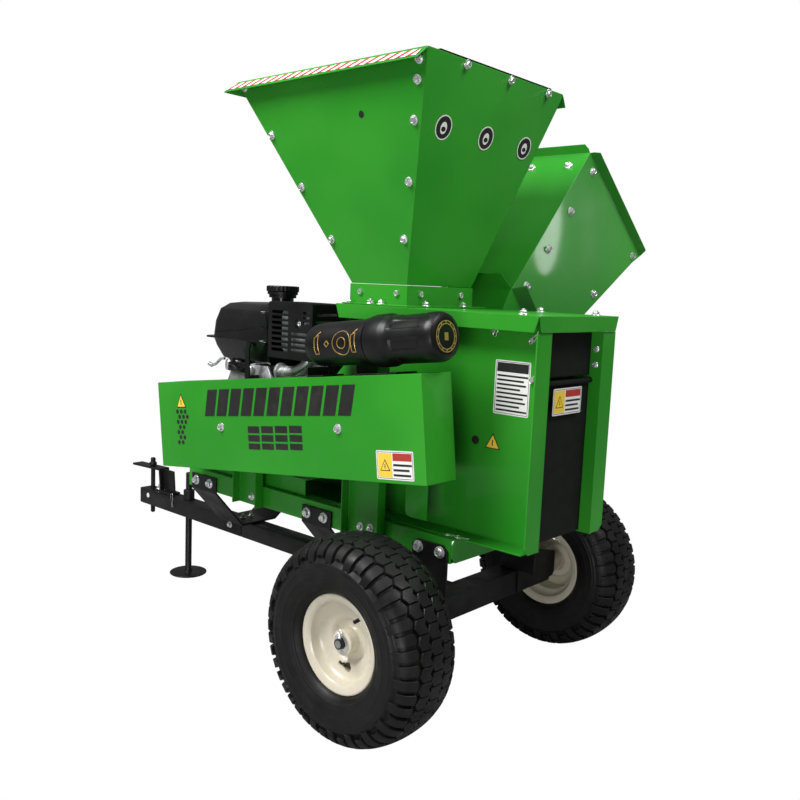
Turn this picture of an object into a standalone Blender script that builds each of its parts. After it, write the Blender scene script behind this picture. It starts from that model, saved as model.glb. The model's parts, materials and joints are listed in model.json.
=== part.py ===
"""Towed petrol wood chipper and shredder, built piece by piece in metres.

+X points to the discharge end, -X to the hitch, -Y to the belt guard side, +Z up.
The wheels stand on z = 0 and the axle line is x = AXLE_X.
"""
import math

import bmesh
import bpy
from mathutils import Matrix, Vector

GAP = 0.0003            # clearance left between pieces that touch
SHEET = 0.003           # folded sheet steel of the housing
PLATE = 0.005           # bent straps and brackets

# running gear
AXLE_X = 0.4914
WHEEL_R = 0.1905
TRACK_HALF = 0.334
AXLE_HALF = 0.0254      # half of the square axle tube
SPINDLE_R = 0.0095
SPINDLE_END = 0.3835
BORE_R = 0.0102
RIM_R = 0.0905
RIM_HALF = 0.0515
TYRE_HALF = 0.0729

# tongue
TONGUE_Y = -0.0325
TONGUE_HALF = 0.0222
TONGUE_Z = 0.1875
TONGUE_FRONT = -0.671
TONGUE_JOIN = -0.200
TUBE_WALL = 0.003
PIN_X = -0.638
JACK_X = -0.460
JACK_R = 0.0088

# base frame, mirrored about the housing centre line
BODY_Y = -0.014
RAIL_OUT = 0.1512
RAIL_BOTTOM = 0.3072
RAIL_TOP = 0.3547
RAIL_FRONT = -0.2700
RAIL_REAR = 0.5637
RAIL_WIDE = 0.035
RAIL_T = 0.004

# housing
BODY_HALF = 0.095
FLANGE = 0.0433
BODY_FRONT = 0.2444
BODY_REAR = 0.7180
BODY_BOTTOM = 0.3550
BODY_TOP = 0.7785
TOP_Z = 0.7817
SKIRT = 0.0294
ROTOR_X = 0.460
ROTOR_Z = 0.5625
ROTOR_R = 0.125

# belt drive and its guard, tilted about Y
GUARD_X = 0.1713
GUARD_Z = 0.5255
GUARD_HALF_L = 0.4070
GUARD_HALF_H = 0.0985
GUARD_FACE = -0.2740
GUARD_BACK = -0.1900
GUARD_TILT = math.radians(7.1)
BELT_Y = -0.2350
ENGINE_X = -0.115
ENGINE_Z = 0.4895
PULLEY_R = 0.070
CLUTCH_R = 0.042

# hopper and chute
RIM_Z = 1.2310
HOPPER_TOP = (-0.0100, 0.5135, -0.2360, 0.2080)
HOPPER_LOW = (0.2332, 0.3865, -0.1190, 0.0910)
COLLAR_TOP = 0.8240
LIP = 0.028
CHUTE_X = (0.2800, 0.4500)
THROAT_TOP_FOOT = (0.0836, 0.7197)   # y, z of the duct's corners, from the side plate up
THROAT_TOP = (0.1490, 0.8260)
THROAT_LOW = (0.2990, 0.6600)
THROAT_LOW_FOOT = (0.0813, 0.6200)
THROAT_LIP = 0.0330
CHUTE_TOP_FOOT = (0.1470, 0.8150)    # y, z of the chute's corners, round the same way
CHUTE_TOP = (0.4488, 1.1523)
CHUTE_CORNER = (0.7380, 0.9270)
CHUTE_LOW = (0.6950, 0.9090)
CHUTE_LOW_FOOT = (0.2920, 0.6685)
CHUTE_LIP = 0.0225
FLAP_X = 0.6960
FLAP_Z = 0.6580


# ---------------------------------------------------------------- materials
def paint(name, colour, rough, metal):
    mat = bpy.data.materials.new(name)
    mat.use_nodes = True
    shader = mat.node_tree.nodes["Principled BSDF"]
    shader.inputs["Base Color"].default_value = (*colour, 1.0)
    shader.inputs["Roughness"].default_value = rough
    shader.inputs["Metallic"].default_value = metal
    mat.diffuse_color = (*colour, 1.0)
    return mat


def make_materials():
    return {
        "green": paint("green_powder_coat", (0.035, 0.31, 0.03), 0.35, 0.0),
        "black": paint("black_chassis_paint", (0.012, 0.012, 0.012), 0.45, 0.0),
        "cream": paint("cream_rim_paint", (0.62, 0.55, 0.42), 0.4, 0.0),
        "rubber": paint("tyre_rubber", (0.015, 0.015, 0.015), 0.85, 0.0),
        "belt": paint("belt_rubber", (0.02, 0.02, 0.02), 0.8, 0.0),
        "steel": paint("bare_steel", (0.45, 0.45, 0.46), 0.35, 1.0),
        "alloy": paint("cast_alloy", (0.5, 0.5, 0.5), 0.5, 1.0),
        "plastic": paint("black_plastic", (0.015, 0.015, 0.016), 0.4, 0.0),
        "flap": paint("flap_sheet", (0.018, 0.017, 0.016), 0.6, 0.0),
    }


# ---------------------------------------------------------------- helpers
def add_object(name, bm, mat, smooth_angle=None):
    bmesh.ops.recalc_face_normals(bm, faces=bm.faces)
    if bm.calc_volume(signed=True) < 0.0:
        bmesh.ops.reverse_faces(bm, faces=bm.faces)
    mesh = bpy.data.meshes.new(name)
    bm.to_mesh(mesh)
    bm.free()
    mesh.materials.append(mat)
    obj = bpy.data.objects.new(name, mesh)
    bpy.context.scene.collection.objects.link(obj)
    if smooth_angle:
        smooth_by_angle(mesh, smooth_angle)
    return obj


def smooth_by_angle(mesh, degrees):
    """Shades faces smooth and keeps the edges sharper than the angle."""
    for face in mesh.polygons:
        face.use_smooth = True
    bm = bmesh.new()
    bm.from_mesh(mesh)
    for edge in bm.edges:
        if len(edge.link_faces) == 2:
            edge.smooth = edge.calc_face_angle(0.0) < math.radians(degrees)
    bm.to_mesh(mesh)
    bm.free()


def move_origin(obj, point):
    """Puts the object's origin on a point, the mesh staying where it is."""
    point = Vector(point)
    obj.data.transform(Matrix.Translation(-point))
    obj.location = point
    return obj


def to_world(axis, a, b, depth):
    """A profile point (a, b) and a depth along the axis, as x, y, z."""
    if axis == "X":
        return (depth, a, b)
    if axis == "Y":
        return (a, depth, b)
    return (a, b, depth)


def prism(name, axis, outline, low, high, mat):
    """A closed outline pushed straight along an axis."""
    bm = bmesh.new()
    near = [bm.verts.new(to_world(axis, a, b, low)) for a, b in outline]
    far = [bm.verts.new(to_world(axis, a, b, high)) for a, b in outline]
    bm.faces.new(near)
    bm.faces.new(list(reversed(far)))
    count = len(outline)
    for i in range(count):
        j = (i + 1) % count
        bm.faces.new((near[i], near[j], far[j], far[i]))
    return add_object(name, bm, mat)


def box(name, x, y, z, mat):
    outline = [(x[0], z[0]), (x[1], z[0]), (x[1], z[1]), (x[0], z[1])]
    return prism(name, "Y", outline, y[0], y[1], mat)


def circle(a, b, radius, count, start=0.0):
    step = math.tau / count
    return [
        (a + radius * math.cos(start + i * step), b + radius * math.sin(start + i * step))
        for i in range(count)
    ]


def cylinder(name, axis, centre, radius, low, high, mat, count=32):
    obj = prism(name, axis, circle(centre[0], centre[1], radius, count), low, high, mat)
    smooth_by_angle(obj.data, 35)
    return obj


def lathe(name, centre, axis, profile, mat, count=64):
    """A closed profile of (radius, height) turned about an axis through centre."""
    bm = bmesh.new()
    rings = []
    for radius, height in profile:
        ring = []
        for i in range(count):
            angle = math.tau * i / count
            a = radius * math.cos(angle)
            b = radius * math.sin(angle)
            local = Vector(to_world(axis, a, b, height))
            ring.append(bm.verts.new(Vector(centre) + local))
        rings.append(ring)
    total = len(rings)
    for k in range(total):
        here = rings[k]
        there = rings[(k + 1) % total]
        for i in range(count):
            j = (i + 1) % count
            bm.faces.new((here[i], here[j], there[j], there[i]))
    return add_object(name, bm, mat, 35)


def turned(name, centre, axis, profile, mat, count=32):
    """A solid of revolution: (radius, height) from one end to the other."""
    bm = bmesh.new()
    rings = []
    for radius, height in profile:
        ring = []
        for i in range(count):
            angle = math.tau * i / count
            a = radius * math.cos(angle)
            b = radius * math.sin(angle)
            local = Vector(to_world(axis, a, b, height))
            ring.append(bm.verts.new(Vector(centre) + local))
        rings.append(ring)
    bm.faces.new(rings[0])
    bm.faces.new(list(reversed(rings[-1])))
    for here, there in zip(rings, rings[1:]):
        for i in range(count):
            j = (i + 1) % count
            bm.faces.new((here[i], here[j], there[j], there[i]))
    return add_object(name, bm, mat, 35)


def bent_outline(path, thick):
    """The closed outline of a bent strip: path and its copy offset to the left."""
    inner = []
    count = len(path)
    for i in range(count):
        here = Vector(path[i])
        before = (here - Vector(path[i - 1])).normalized() if i > 0 else None
        after = (Vector(path[i + 1]) - here).normalized() if i < count - 1 else None
        if before is None:
            before = after
        if after is None:
            after = before
        left_a = Vector((-before.y, before.x))
        left_b = Vector((-after.y, after.x))
        mean = (left_a + left_b).normalized()
        reach = thick / max(0.2, mean.dot(left_a))
        inner.append(tuple(here + mean * reach))
    return list(path) + list(reversed(inner))


def bent_strip(name, axis, path, thick, low, high, mat):
    return prism(name, axis, bent_outline(path, thick), low, high, mat)


def sheet(name, points, faces, thick, mat, offset=-1.0):
    """Folded sheet metal: an open surface given an even thickness."""
    bm = bmesh.new()
    verts = [bm.verts.new(p) for p in points]
    for face in faces:
        bm.faces.new([verts[i] for i in face])
    mesh = bpy.data.meshes.new(name)
    bm.to_mesh(mesh)
    bm.free()
    mesh.materials.append(mat)
    obj = bpy.data.objects.new(name, mesh)
    bpy.context.scene.collection.objects.link(obj)
    solid = obj.modifiers.new("thickness", "SOLIDIFY")
    solid.thickness = thick
    solid.offset = offset
    solid.solidify_mode = "NON_MANIFOLD"
    solid.nonmanifold_thickness_mode = "CONSTRAINTS"
    return obj


def hide_tool(obj):
    obj.hide_render = True
    obj.display_type = "WIRE"
    return obj


def combine(obj, other, operation):
    """Adds or removes another solid, which is then kept as a hidden tool."""
    step = obj.modifiers.new(operation.lower(), "BOOLEAN")
    step.operation = operation
    step.solver = "EXACT"
    step.object = hide_tool(other)
    return obj


def cut(obj, other):
    return combine(obj, other, "DIFFERENCE")


def join(obj, other):
    return combine(obj, other, "UNION")


def soften(obj, width, segments=2, angle=40):
    step = obj.modifiers.new("soft_edges", "BEVEL")
    step.width = width
    step.segments = segments
    step.limit_method = "ANGLE"
    step.angle_limit = math.radians(angle)
    return obj


# ---------------------------------------------------------------- running gear
def build_axle(mats):
    low = AXLE_X - AXLE_HALF
    high = AXLE_X + AXLE_HALF
    span = TRACK_HALF - TYRE_HALF + 0.012
    axle = box("axle_beam", (low, high), (-span, span),
               (WHEEL_R - AXLE_HALF, WHEEL_R + AXLE_HALF), mats["black"])
    spindle = cylinder("axle_spindle_tool", "Y", (AXLE_X, WHEEL_R), SPINDLE_R,
                       -SPINDLE_END, SPINDLE_END, mats["black"])
    join(axle, spindle)


def build_wheel(side, sign, mats):
    centre = (AXLE_X, sign * TRACK_HALF, WHEEL_R)
    out = sign
    rim_points = [
        (BORE_R, 0.040), (0.0230, 0.040), (0.0230, 0.016), (0.0360, 0.014),
        (0.0440, 0.024), (0.0600, 0.024), (0.0735, 0.034), (0.0735, 0.0485),
        (0.0840, 0.0500), (RIM_R, RIM_HALF), (0.0840, 0.0475), (0.0765, 0.0465),
        (0.0765, 0.0330), (0.0640, 0.0220), (0.0640, -0.0220), (0.0765, -0.0330),
        (0.0765, -0.0465), (0.0840, -0.0475), (RIM_R, -RIM_HALF), (0.0735, -0.0490),
        (0.0735, -0.0330), (0.0610, -0.0210), (0.0610, 0.0205), (0.0440, 0.0205),
        (0.0360, 0.0105), (0.0230, 0.0120), (0.0230, -0.040), (BORE_R, -0.040),
    ]
    rim = lathe("rim_" + side, centre, "Y", [(r, out * h) for r, h in rim_points],
                mats["cream"], 26)
    move_origin(rim, centre)
    tyre_points = [
        (0.0775, 0.0455), (0.0900, 0.0462), (0.0960, 0.0580), (0.1300, TYRE_HALF),
        (0.1600, 0.0700), (0.1790, 0.0580), (0.1870, 0.0380), (WHEEL_R, 0.0000),
    ]
    outer = tyre_points + [(r, -h) for r, h in reversed(tyre_points[:-1])]
    inner = [(0.0775, -0.0360), (0.0930, -0.0380), (0.1300, -0.0620), (0.1700, -0.0480),
             (0.1800, 0.0000)]
    inner = inner + [(r, -h) for r, h in reversed(inner[:-1])]
    tyre = lathe("tyre_" + side, centre, "Y", outer + inner, mats["rubber"], 36)
    move_origin(tyre, centre)


def build_tongue(mats):
    y = (TONGUE_Y - TONGUE_HALF, TONGUE_Y + TONGUE_HALF)
    z = (TONGUE_Z - TONGUE_HALF, TONGUE_Z + TONGUE_HALF)
    wall = TUBE_WALL
    spans = {
        "tongue_front_tube": (TONGUE_FRONT, TONGUE_JOIN - GAP),
        "tongue_rear_tube": (TONGUE_JOIN, AXLE_X - AXLE_HALF - GAP),
    }
    tubes = {}
    for name, x in spans.items():
        tube = box(name, x, y, z, mats["black"])
        soften(tube, 0.003, 2)
        bore = box(name + "_bore_tool", (x[0] - 0.01, x[1] + 0.01),
                   (y[0] + wall, y[1] - wall), (z[0] + wall, z[1] - wall), mats["black"])
        cut(tube, bore)
        tubes[name] = tube
    front = tubes["tongue_front_tube"]
    pin_hole = cylinder("pin_hole_tool", "Z", (PIN_X, TONGUE_Y), 0.0068, 0.1, 0.3,
                        mats["black"], 24)
    jack_hole = cylinder("jack_hole_tool", "Z", (JACK_X, TONGUE_Y), JACK_R + GAP * 2,
                         0.1, 0.3, mats["black"])
    cut(front, pin_hole)
    cut(front, jack_hole)


def build_hitch(mats):
    top = TONGUE_Z + TONGUE_HALF + GAP
    half = 0.0160
    path = [(-0.5250, top), (-0.5790, top), (-0.5860, 0.2720), (-0.7200, 0.2670)]
    strap = bent_strip("hitch_upper_strap", "Y", path, -0.006, TONGUE_Y - half,
                       TONGUE_Y + half, mats["black"])
    web = prism("hitch_web_tool", "Y",
                [(-0.5860, top + 0.003), (-0.5270, top + 0.003), (-0.5330, 0.2760), (-0.5870, 0.2760)],
                TONGUE_Y - 0.0025, TONGUE_Y + 0.0025, mats["black"])
    join(strap, web)
    hole = cylinder("strap_hole_tool", "Z", (PIN_X, TONGUE_Y), 0.0068, 0.23, 0.30,
                    mats["black"], 24)
    cut(strap, hole)
    pin = turned("hitch_pin", (PIN_X, TONGUE_Y, 0.0), "Z",
                 [(0.0040, 0.1380), (0.0062, 0.1410), (0.0062, 0.2780), (0.0105, 0.2782),
                  (0.0105, 0.2860), (0.0070, 0.2870), (0.0070, 0.2980), (0.0050, 0.3000)],
                 mats["black"], 24)
    move_origin(pin, (PIN_X, TONGUE_Y, 0.2782))


def build_jack(mats):
    top = TONGUE_Z + TONGUE_HALF + GAP
    centre = (JACK_X, TONGUE_Y, 0.0)
    leg = turned("jack_leg", centre, "Z",
                 [(0.0480, 0.0), (0.0505, 0.0012), (0.0505, 0.0040), (0.0480, 0.0046),
                  (0.0120, 0.0046), (JACK_R, 0.0120), (JACK_R, 0.2850), (0.0070, 0.2870)],
                 mats["black"])
    move_origin(leg, (JACK_X, TONGUE_Y, 0.2))
    bore = JACK_R + GAP * 2
    lathe("jack_sleeve", centre, "Z",
          [(bore, top), (0.0150, top), (0.0150, 0.2380), (bore, 0.2380)],
          mats["black"], 32)


def build_frame(mats):
    top_in = RAIL_TOP - RAIL_T
    web = RAIL_OUT - RAIL_T
    channel = [
        (RAIL_OUT, RAIL_BOTTOM), (RAIL_OUT, RAIL_TOP), (RAIL_OUT - RAIL_WIDE, RAIL_TOP),
        (RAIL_OUT - RAIL_WIDE, top_in), (web, top_in), (web, RAIL_BOTTOM + RAIL_T),
        (RAIL_OUT - RAIL_WIDE, RAIL_BOTTOM + RAIL_T), (RAIL_OUT - RAIL_WIDE, RAIL_BOTTOM),
    ]
    for side, sign in (("left", -1), ("right", 1)):
        outline = [(BODY_Y + sign * a, b) for a, b in channel]
        prism("frame_rail_" + side, "X", outline, RAIL_FRONT, RAIL_REAR - GAP, mats["green"])
    corner = 0.012
    low, high = RAIL_BOTTOM, RAIL_TOP
    left, right = BODY_Y - RAIL_OUT, BODY_Y + RAIL_OUT
    outline = [
        (left + corner, low), (right - corner, low), (right, low + corner),
        (right, high - corner), (right - corner, high), (left + corner, high),
        (left, high - corner), (left, low + corner),
    ]
    prism("rear_cross_member", "X", outline, RAIL_REAR, RAIL_REAR + 0.004, mats["green"])


def build_straps(mats):
    out = RAIL_OUT + GAP + PLATE
    foot = TONGUE_Z + TONGUE_HALF + GAP
    path = [
        (BODY_Y - out, 0.3430), (BODY_Y - out, 0.3050), (-0.0860, foot), (0.0210, foot),
        (BODY_Y + out, 0.3010), (BODY_Y + out, 0.3430),
    ]
    for name, x in (("front_strap", (-0.252, -0.155)), ("middle_strap", (0.154, 0.245))):
        bent_strip(name, "X", path, PLATE, x[0], x[1], mats["black"])


def build_axle_brackets(mats):
    """Plate bolted to the rail, standing on the axle, with a plate behind the axle."""
    foot = WHEEL_R + AXLE_HALF + GAP
    rear = AXLE_X + AXLE_HALF + GAP
    for side, sign in (("left", -1), ("right", 1)):
        out = RAIL_OUT + GAP
        y = sorted((BODY_Y + sign * out, BODY_Y + sign * (out + PLATE)))
        bracket = prism("axle_bracket_" + side, "Y",
                        [(0.4720, foot), (0.5600, foot), (0.5600, 0.3300), (0.5480, 0.3415),
                         (0.4840, 0.3415), (0.4720, 0.3300)],
                        y[0], y[1], mats["black"])
        inner = BODY_Y + sign * (out + 0.0005)
        tip = sign * 0.2850
        rib = [
            (inner, 0.1670), (tip - sign * 0.008, 0.1750), (tip, 0.1830), (tip, 0.2290),
            (tip - sign * 0.006, 0.2350), (inner + sign * 0.045, 0.2600), (inner, 0.2600),
        ]
        if sign < 0:
            rib = list(reversed(rib))
        plate = prism("axle_bracket_rib_tool_" + side, "X", rib, rear, rear + PLATE, mats["black"])
        join(bracket, plate)


# ---------------------------------------------------------------- housing
def build_side_plate(side, sign, mats):
    """Flat plate with flanges folded outwards along its rear and bottom edges."""
    face = BODY_Y + sign * BODY_HALF
    inner = face - sign * SHEET
    tip = BODY_Y + sign * (BODY_HALF + FLANGE)
    deep = sorted((inner, face))
    wide = sorted((inner, tip))
    fold = TOP_Z - SKIRT - 0.0005
    cut_in = 0.012
    x0, x1 = BODY_FRONT, BODY_REAR
    z0 = BODY_BOTTOM
    plate = box("side_plate_" + side, (x0, x1), deep, (z0, BODY_TOP), mats["green"])
    rear = [(inner, z0 + 0.001), (tip - sign * cut_in, z0 + 0.001), (tip, z0 + cut_in), (tip, fold),
            (inner, fold)]
    join(plate, prism("rear_flange_tool_" + side, "X", rear, x1 - SHEET, x1, mats["green"]))
    join(plate, box("bottom_flange_tool_" + side, (x0, x1 - 0.008), wide, (z0, z0 + SHEET),
                    mats["green"]))
    cut(plate, cylinder("shaft_hole_tool_" + side, "Y", (ROTOR_X, ROTOR_Z), 0.0200,
                        face - 0.02, face + 0.02, mats["green"], 24))
    if sign > 0:
        cut(plate, box("throat_hole_tool", (CHUTE_X[0] + 0.006, CHUTE_X[1] - 0.006),
                       (face - 0.02, face + 0.02), (0.6280, 0.7080), mats["green"]))


def build_top_plate(mats):
    x0, x1 = 0.2244, BODY_REAR + SHEET + GAP
    half = BODY_HALF + FLANGE + SHEET + GAP
    y0, y1 = BODY_Y - half, BODY_Y + half
    low = TOP_Z - SKIRT
    cut_in = 0.010
    points = [
        (x0, y0, TOP_Z), (x1, y0, TOP_Z), (x1, y1, TOP_Z), (x0, y1, TOP_Z),
        (x0 + cut_in, y0, low), (x1 - cut_in, y0, low),
        (x1, y0 + cut_in, low), (x1, y1 - cut_in, low),
        (x1 - cut_in, y1, low), (x0 + cut_in, y1, low),
    ]
    faces = [(0, 1, 2, 3), (0, 4, 5, 1), (1, 6, 7, 2), (2, 8, 9, 3)]
    plate = sheet("top_plate", points, faces, SHEET, mats["green"], -1.0)
    hopper = box("hopper_hole_tool", (0.2560, 0.3740), (-0.1040, 0.0760), (0.76, 0.80), mats["green"])
    notch = box("throat_notch_tool", (CHUTE_X[0] - 0.004, CHUTE_X[1] + 0.004), (0.1160, 0.1400),
                (0.74, 0.80), mats["green"])
    cut(plate, hopper)
    cut(plate, notch)


def build_housing_wraps(mats):
    inside = BODY_HALF - SHEET - GAP
    low, high = BODY_Y - inside, BODY_Y + inside
    front_path = [(0.2480, BODY_TOP - 0.001), (0.2480, 0.5200), (0.2800, 0.4440), (0.3120, 0.4080)]
    bent_strip("housing_front", "Y", front_path, SHEET, low, high, mats["green"])
    count = 14
    radius = ROTOR_R + 0.016
    path = []
    for i in range(count + 1):
        angle = math.radians(222 + 118 * i / count)
        path.append((ROTOR_X + radius * math.cos(angle), ROTOR_Z + radius * math.sin(angle)))
    screen = bent_strip("discharge_screen", "Y", path, -0.004, low, high, mats["steel"])
    for i in range(9):
        angle = math.radians(228 + 106 * i / 8)
        cx = ROTOR_X + radius * math.cos(angle)
        cz = ROTOR_Z + radius * math.sin(angle)
        slot = box(f"screen_slot_tool_{i}", (-0.007, 0.007), (low + 0.018, high - 0.018),
                   (-0.012, 0.012), mats["steel"])
        slot.location = (cx, 0.0, cz)
        slot.rotation_euler = (0.0, -(angle - math.radians(270)), 0.0)
        cut(screen, slot)
    box("rear_upper_panel", (0.6900, 0.6930), (low, high), (0.6680, BODY_TOP - 0.001), mats["flap"])


def build_flap(mats):
    inside = BODY_HALF - SHEET - GAP
    low, high = BODY_Y - inside, BODY_Y + inside
    flap = box("discharge_flap", (FLAP_X - 0.0075, FLAP_X - 0.0035), (low, high),
               (0.3590, FLAP_Z), mats["flap"])
    rod = cylinder("flap_rod_tool", "Y", (FLAP_X, FLAP_Z), 0.0048, low, high, mats["flap"], 24)
    join(flap, rod)
    move_origin(flap, (FLAP_X, BODY_Y, FLAP_Z))
    rod.data.transform(Matrix.Translation((-FLAP_X, -BODY_Y, -FLAP_Z)))
    rod.location = (FLAP_X, BODY_Y, FLAP_Z)


# ---------------------------------------------------------------- rotor
def build_rotor(mats):
    axis = (ROTOR_X, 0.0, ROTOR_Z)
    shaft = turned("rotor_shaft", axis, "Y",
                   [(0.0120, -0.2560), (0.0127, -0.2550), (0.0127, -0.1000), (0.0160, -0.0998),
                    (0.0160, 0.0718), (0.0127, 0.0720), (0.0127, 0.1200), (0.0120, 0.1210)],
                   mats["steel"])
    move_origin(shaft, axis)
    discs = (("rotor_disc_left", -0.0860, -0.0760), ("rotor_disc_right", 0.0480, 0.0600))
    for name, low, high in discs:
        disc = lathe(name, axis, "Y",
                     [(0.0160 + GAP, low), (ROTOR_R - 0.010, low), (ROTOR_R - 0.010, high),
                      (0.0160 + GAP, high)], mats["steel"], 32)
        move_origin(disc, axis)
    knife_outline = [(0.0350, -0.0190), (0.1090, -0.0190), (0.1090, 0.0130), (0.1000, 0.0190),
                     (0.0350, 0.0190)]
    for index, angle in ((1, 40.0), (2, 220.0)):
        turn = Matrix.Rotation(math.radians(angle), 2)
        outline = []
        for a, b in knife_outline:
            p = turn @ Vector((a, b))
            outline.append((ROTOR_X + p.x, ROTOR_Z + p.y))
        knife = prism(f"chipper_knife_{index}", "Y", outline, 0.0603, 0.0683, mats["steel"])
        move_origin(knife, axis)
    flail_outline = [(0.0300, -0.0100), (0.1180, -0.0100), (0.1240, 0.0000), (0.1180, 0.0100),
                     (0.0300, 0.0100)]
    for index, angle in ((1, 130.0), (2, 310.0)):
        turn = Matrix.Rotation(math.radians(angle), 2)
        outline = []
        for a, b in flail_outline:
            p = turn @ Vector((a, b))
            outline.append((ROTOR_X + p.x, ROTOR_Z + p.y))
        flail = prism(f"shredder_flail_{index}", "Y", outline, -0.0757, 0.0477, mats["steel"])
        move_origin(flail, axis)
    for side, sign in (("left", -1), ("right", 1)):
        face = BODY_Y + sign * (BODY_HALF + GAP)
        depth = face + sign * 0.020
        low, high = min(face, depth), max(face, depth)
        bearing = prism("bearing_" + side, "Y",
                        circle(ROTOR_X, ROTOR_Z, 0.050, 8, math.radians(22.5)), low, high,
                        mats["alloy"])
        bore = cylinder("bearing_bore_tool_" + side, "Y", (ROTOR_X, ROTOR_Z), 0.0131,
                        low - 0.01, high + 0.01, mats["alloy"])
        cut(bearing, bore)
    pulley = lathe("rotor_pulley", axis, "Y",
                   [(0.0127 + GAP, BELT_Y - 0.014), (0.0220, BELT_Y - 0.014),
                    (0.0240, BELT_Y - 0.011), (PULLEY_R + 0.003, BELT_Y - 0.011),
                    (PULLEY_R + 0.003, BELT_Y - 0.0095), (PULLEY_R - 0.0095, BELT_Y - 0.0055),
                    (PULLEY_R - 0.0095, BELT_Y + 0.0055), (PULLEY_R + 0.003, BELT_Y + 0.0095),
                    (PULLEY_R + 0.003, BELT_Y + 0.011), (0.0240, BELT_Y + 0.011),
                    (0.0220, BELT_Y + 0.016), (0.0127 + GAP, BELT_Y + 0.016)],
                   mats["alloy"], 32)
    move_origin(pulley, axis)


def build_drive(mats):
    axis = (ENGINE_X, 0.0, ENGINE_Z)
    clutch = turned("engine_clutch", axis, "Y",
                    [(0.0340, BELT_Y - 0.024), (0.0380, BELT_Y - 0.020), (0.0380, BELT_Y - 0.011),
                     (CLUTCH_R + 0.003, BELT_Y - 0.011), (CLUTCH_R + 0.003, BELT_Y - 0.0095),
                     (CLUTCH_R - 0.0095, BELT_Y - 0.0055), (CLUTCH_R - 0.0095, BELT_Y + 0.0055),
                     (CLUTCH_R + 0.003, BELT_Y + 0.0095), (CLUTCH_R + 0.003, BELT_Y + 0.011),
                     (0.0200, BELT_Y + 0.011), (0.0100, BELT_Y + 0.018), (0.0100, -0.1130)],
                    mats["steel"], 28)
    move_origin(clutch, axis)
    belt_outer = belt_loop(PULLEY_R + 0.0015, CLUTCH_R + 0.0015)
    belt_inner = belt_loop(PULLEY_R - 0.0065, CLUTCH_R - 0.0065)
    half = 0.0052
    bm = bmesh.new()
    loops = []
    for outline, y in ((belt_outer, BELT_Y - half), (belt_outer, BELT_Y + half),
                       (belt_inner, BELT_Y + half), (belt_inner, BELT_Y - half)):
        loops.append([bm.verts.new((a, y, b)) for a, b in outline])
    count = len(belt_outer)
    for k in range(4):
        here = loops[k]
        there = loops[(k + 1) % 4]
        for i in range(count):
            j = (i + 1) % count
            bm.faces.new((here[i], here[j], there[j], there[i]))
    add_object("drive_belt", bm, mats["belt"], 35)


def belt_loop(big, small):
    """The open-belt path round the rotor pulley and the clutch pulley."""
    start = Vector((ROTOR_X, ROTOR_Z))
    end = Vector((ENGINE_X, ENGINE_Z))
    span = end - start
    heading = math.atan2(span.y, span.x)
    lean = math.acos((big - small) / span.length)
    points = []
    steps = 20
    for i in range(steps + 1):
        angle = heading + lean + (math.tau - 2 * lean) * i / steps
        points.append((start.x + big * math.cos(angle), start.y + big * math.sin(angle)))
    for i in range(steps + 1):
        angle = heading - lean + 2 * lean * i / steps
        points.append((end.x + small * math.cos(angle), end.y + small * math.sin(angle)))
    return points


def build_guard(mats):
    length, height = GUARD_HALF_L, GUARD_HALF_H
    front, back = GUARD_FACE, GUARD_BACK
    points = [
        (-length, front, -height), (length, front, -height), (length, front, height),
        (-length, front, height), (-length, back, -height), (length, back, -height),
        (length, back, height), (-length, back, height),
    ]
    faces = [(0, 1, 2, 3), (0, 4, 5, 1), (1, 5, 6, 2), (2, 6, 7, 3), (3, 7, 4, 0)]
    guard = sheet("belt_guard", points, faces, 0.002, mats["green"], -1.0)
    guard.location = (GUARD_X, 0.0, GUARD_Z)
    guard.rotation_euler = (0.0, -GUARD_TILT, 0.0)
    web = BODY_Y - RAIL_OUT - GAP
    for name, x, top in (("guard_upright_front", (-0.0670, 0.0170), 0.5600),
                         ("guard_upright_rear", (0.2920, 0.3950), 0.6000)):
        path = [(x[0], web - 0.0235), (x[0], web), (x[1], web), (x[1], web - 0.0235)]
        bent_strip(name, "Z", path, -SHEET, 0.3060, top, mats["green"])


def guard_frame(obj):
    """Turns a piece drawn level, around the guard's centre, to the guard's tilt."""
    obj.location = (GUARD_X, 0.0, GUARD_Z)
    obj.rotation_euler = (0.0, -GUARD_TILT, 0.0)
    return obj


def build_canister(mats):
    """Screw-capped holder on two brackets standing on the guard."""
    roof = GUARD_HALF_H + GAP
    centre_y = (GUARD_FACE + GUARD_BACK) / 2
    lift = GUARD_HALF_H + 0.0625
    tube_r = 0.0430
    tube = turned("canister_tube", (0.0, centre_y, lift), "X",
                  [(0.0360, 0.0650), (tube_r, 0.0720), (tube_r, 0.2620), (0.0395, 0.2622),
                   (0.0395, 0.2900)], mats["plastic"], 32)
    guard_frame(tube)
    cap = lathe("canister_cap", (0.0, centre_y, lift), "X",
                [(0.0402, 0.2645), (0.0462, 0.2645), (0.0462, 0.3060), (0.0435, 0.3110),
                 (0.0400, 0.3200), (0.0400, 0.4130), (0.0360, 0.4230), (0.0010, 0.4240),
                 (0.0010, 0.2920), (0.0402, 0.2920)], mats["plastic"], 32)
    guard_frame(cap)
    for name, x in (("canister_bracket_front", 0.1000), ("canister_bracket_rear", 0.2350)):
        path = [(0.1020, roof), (0.0, roof), (0.0, roof + 0.0190)]
        if name.endswith("front"):
            path = [(0.0450, roof), (0.0, roof), (0.0, roof + 0.0190)]
        outline = [(x + a, b) for a, b in bent_outline(path, -0.003)]
        bracket = prism(name, "Y", outline, centre_y - 0.030, centre_y + 0.030, mats["black"])
        guard_frame(bracket)


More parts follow.
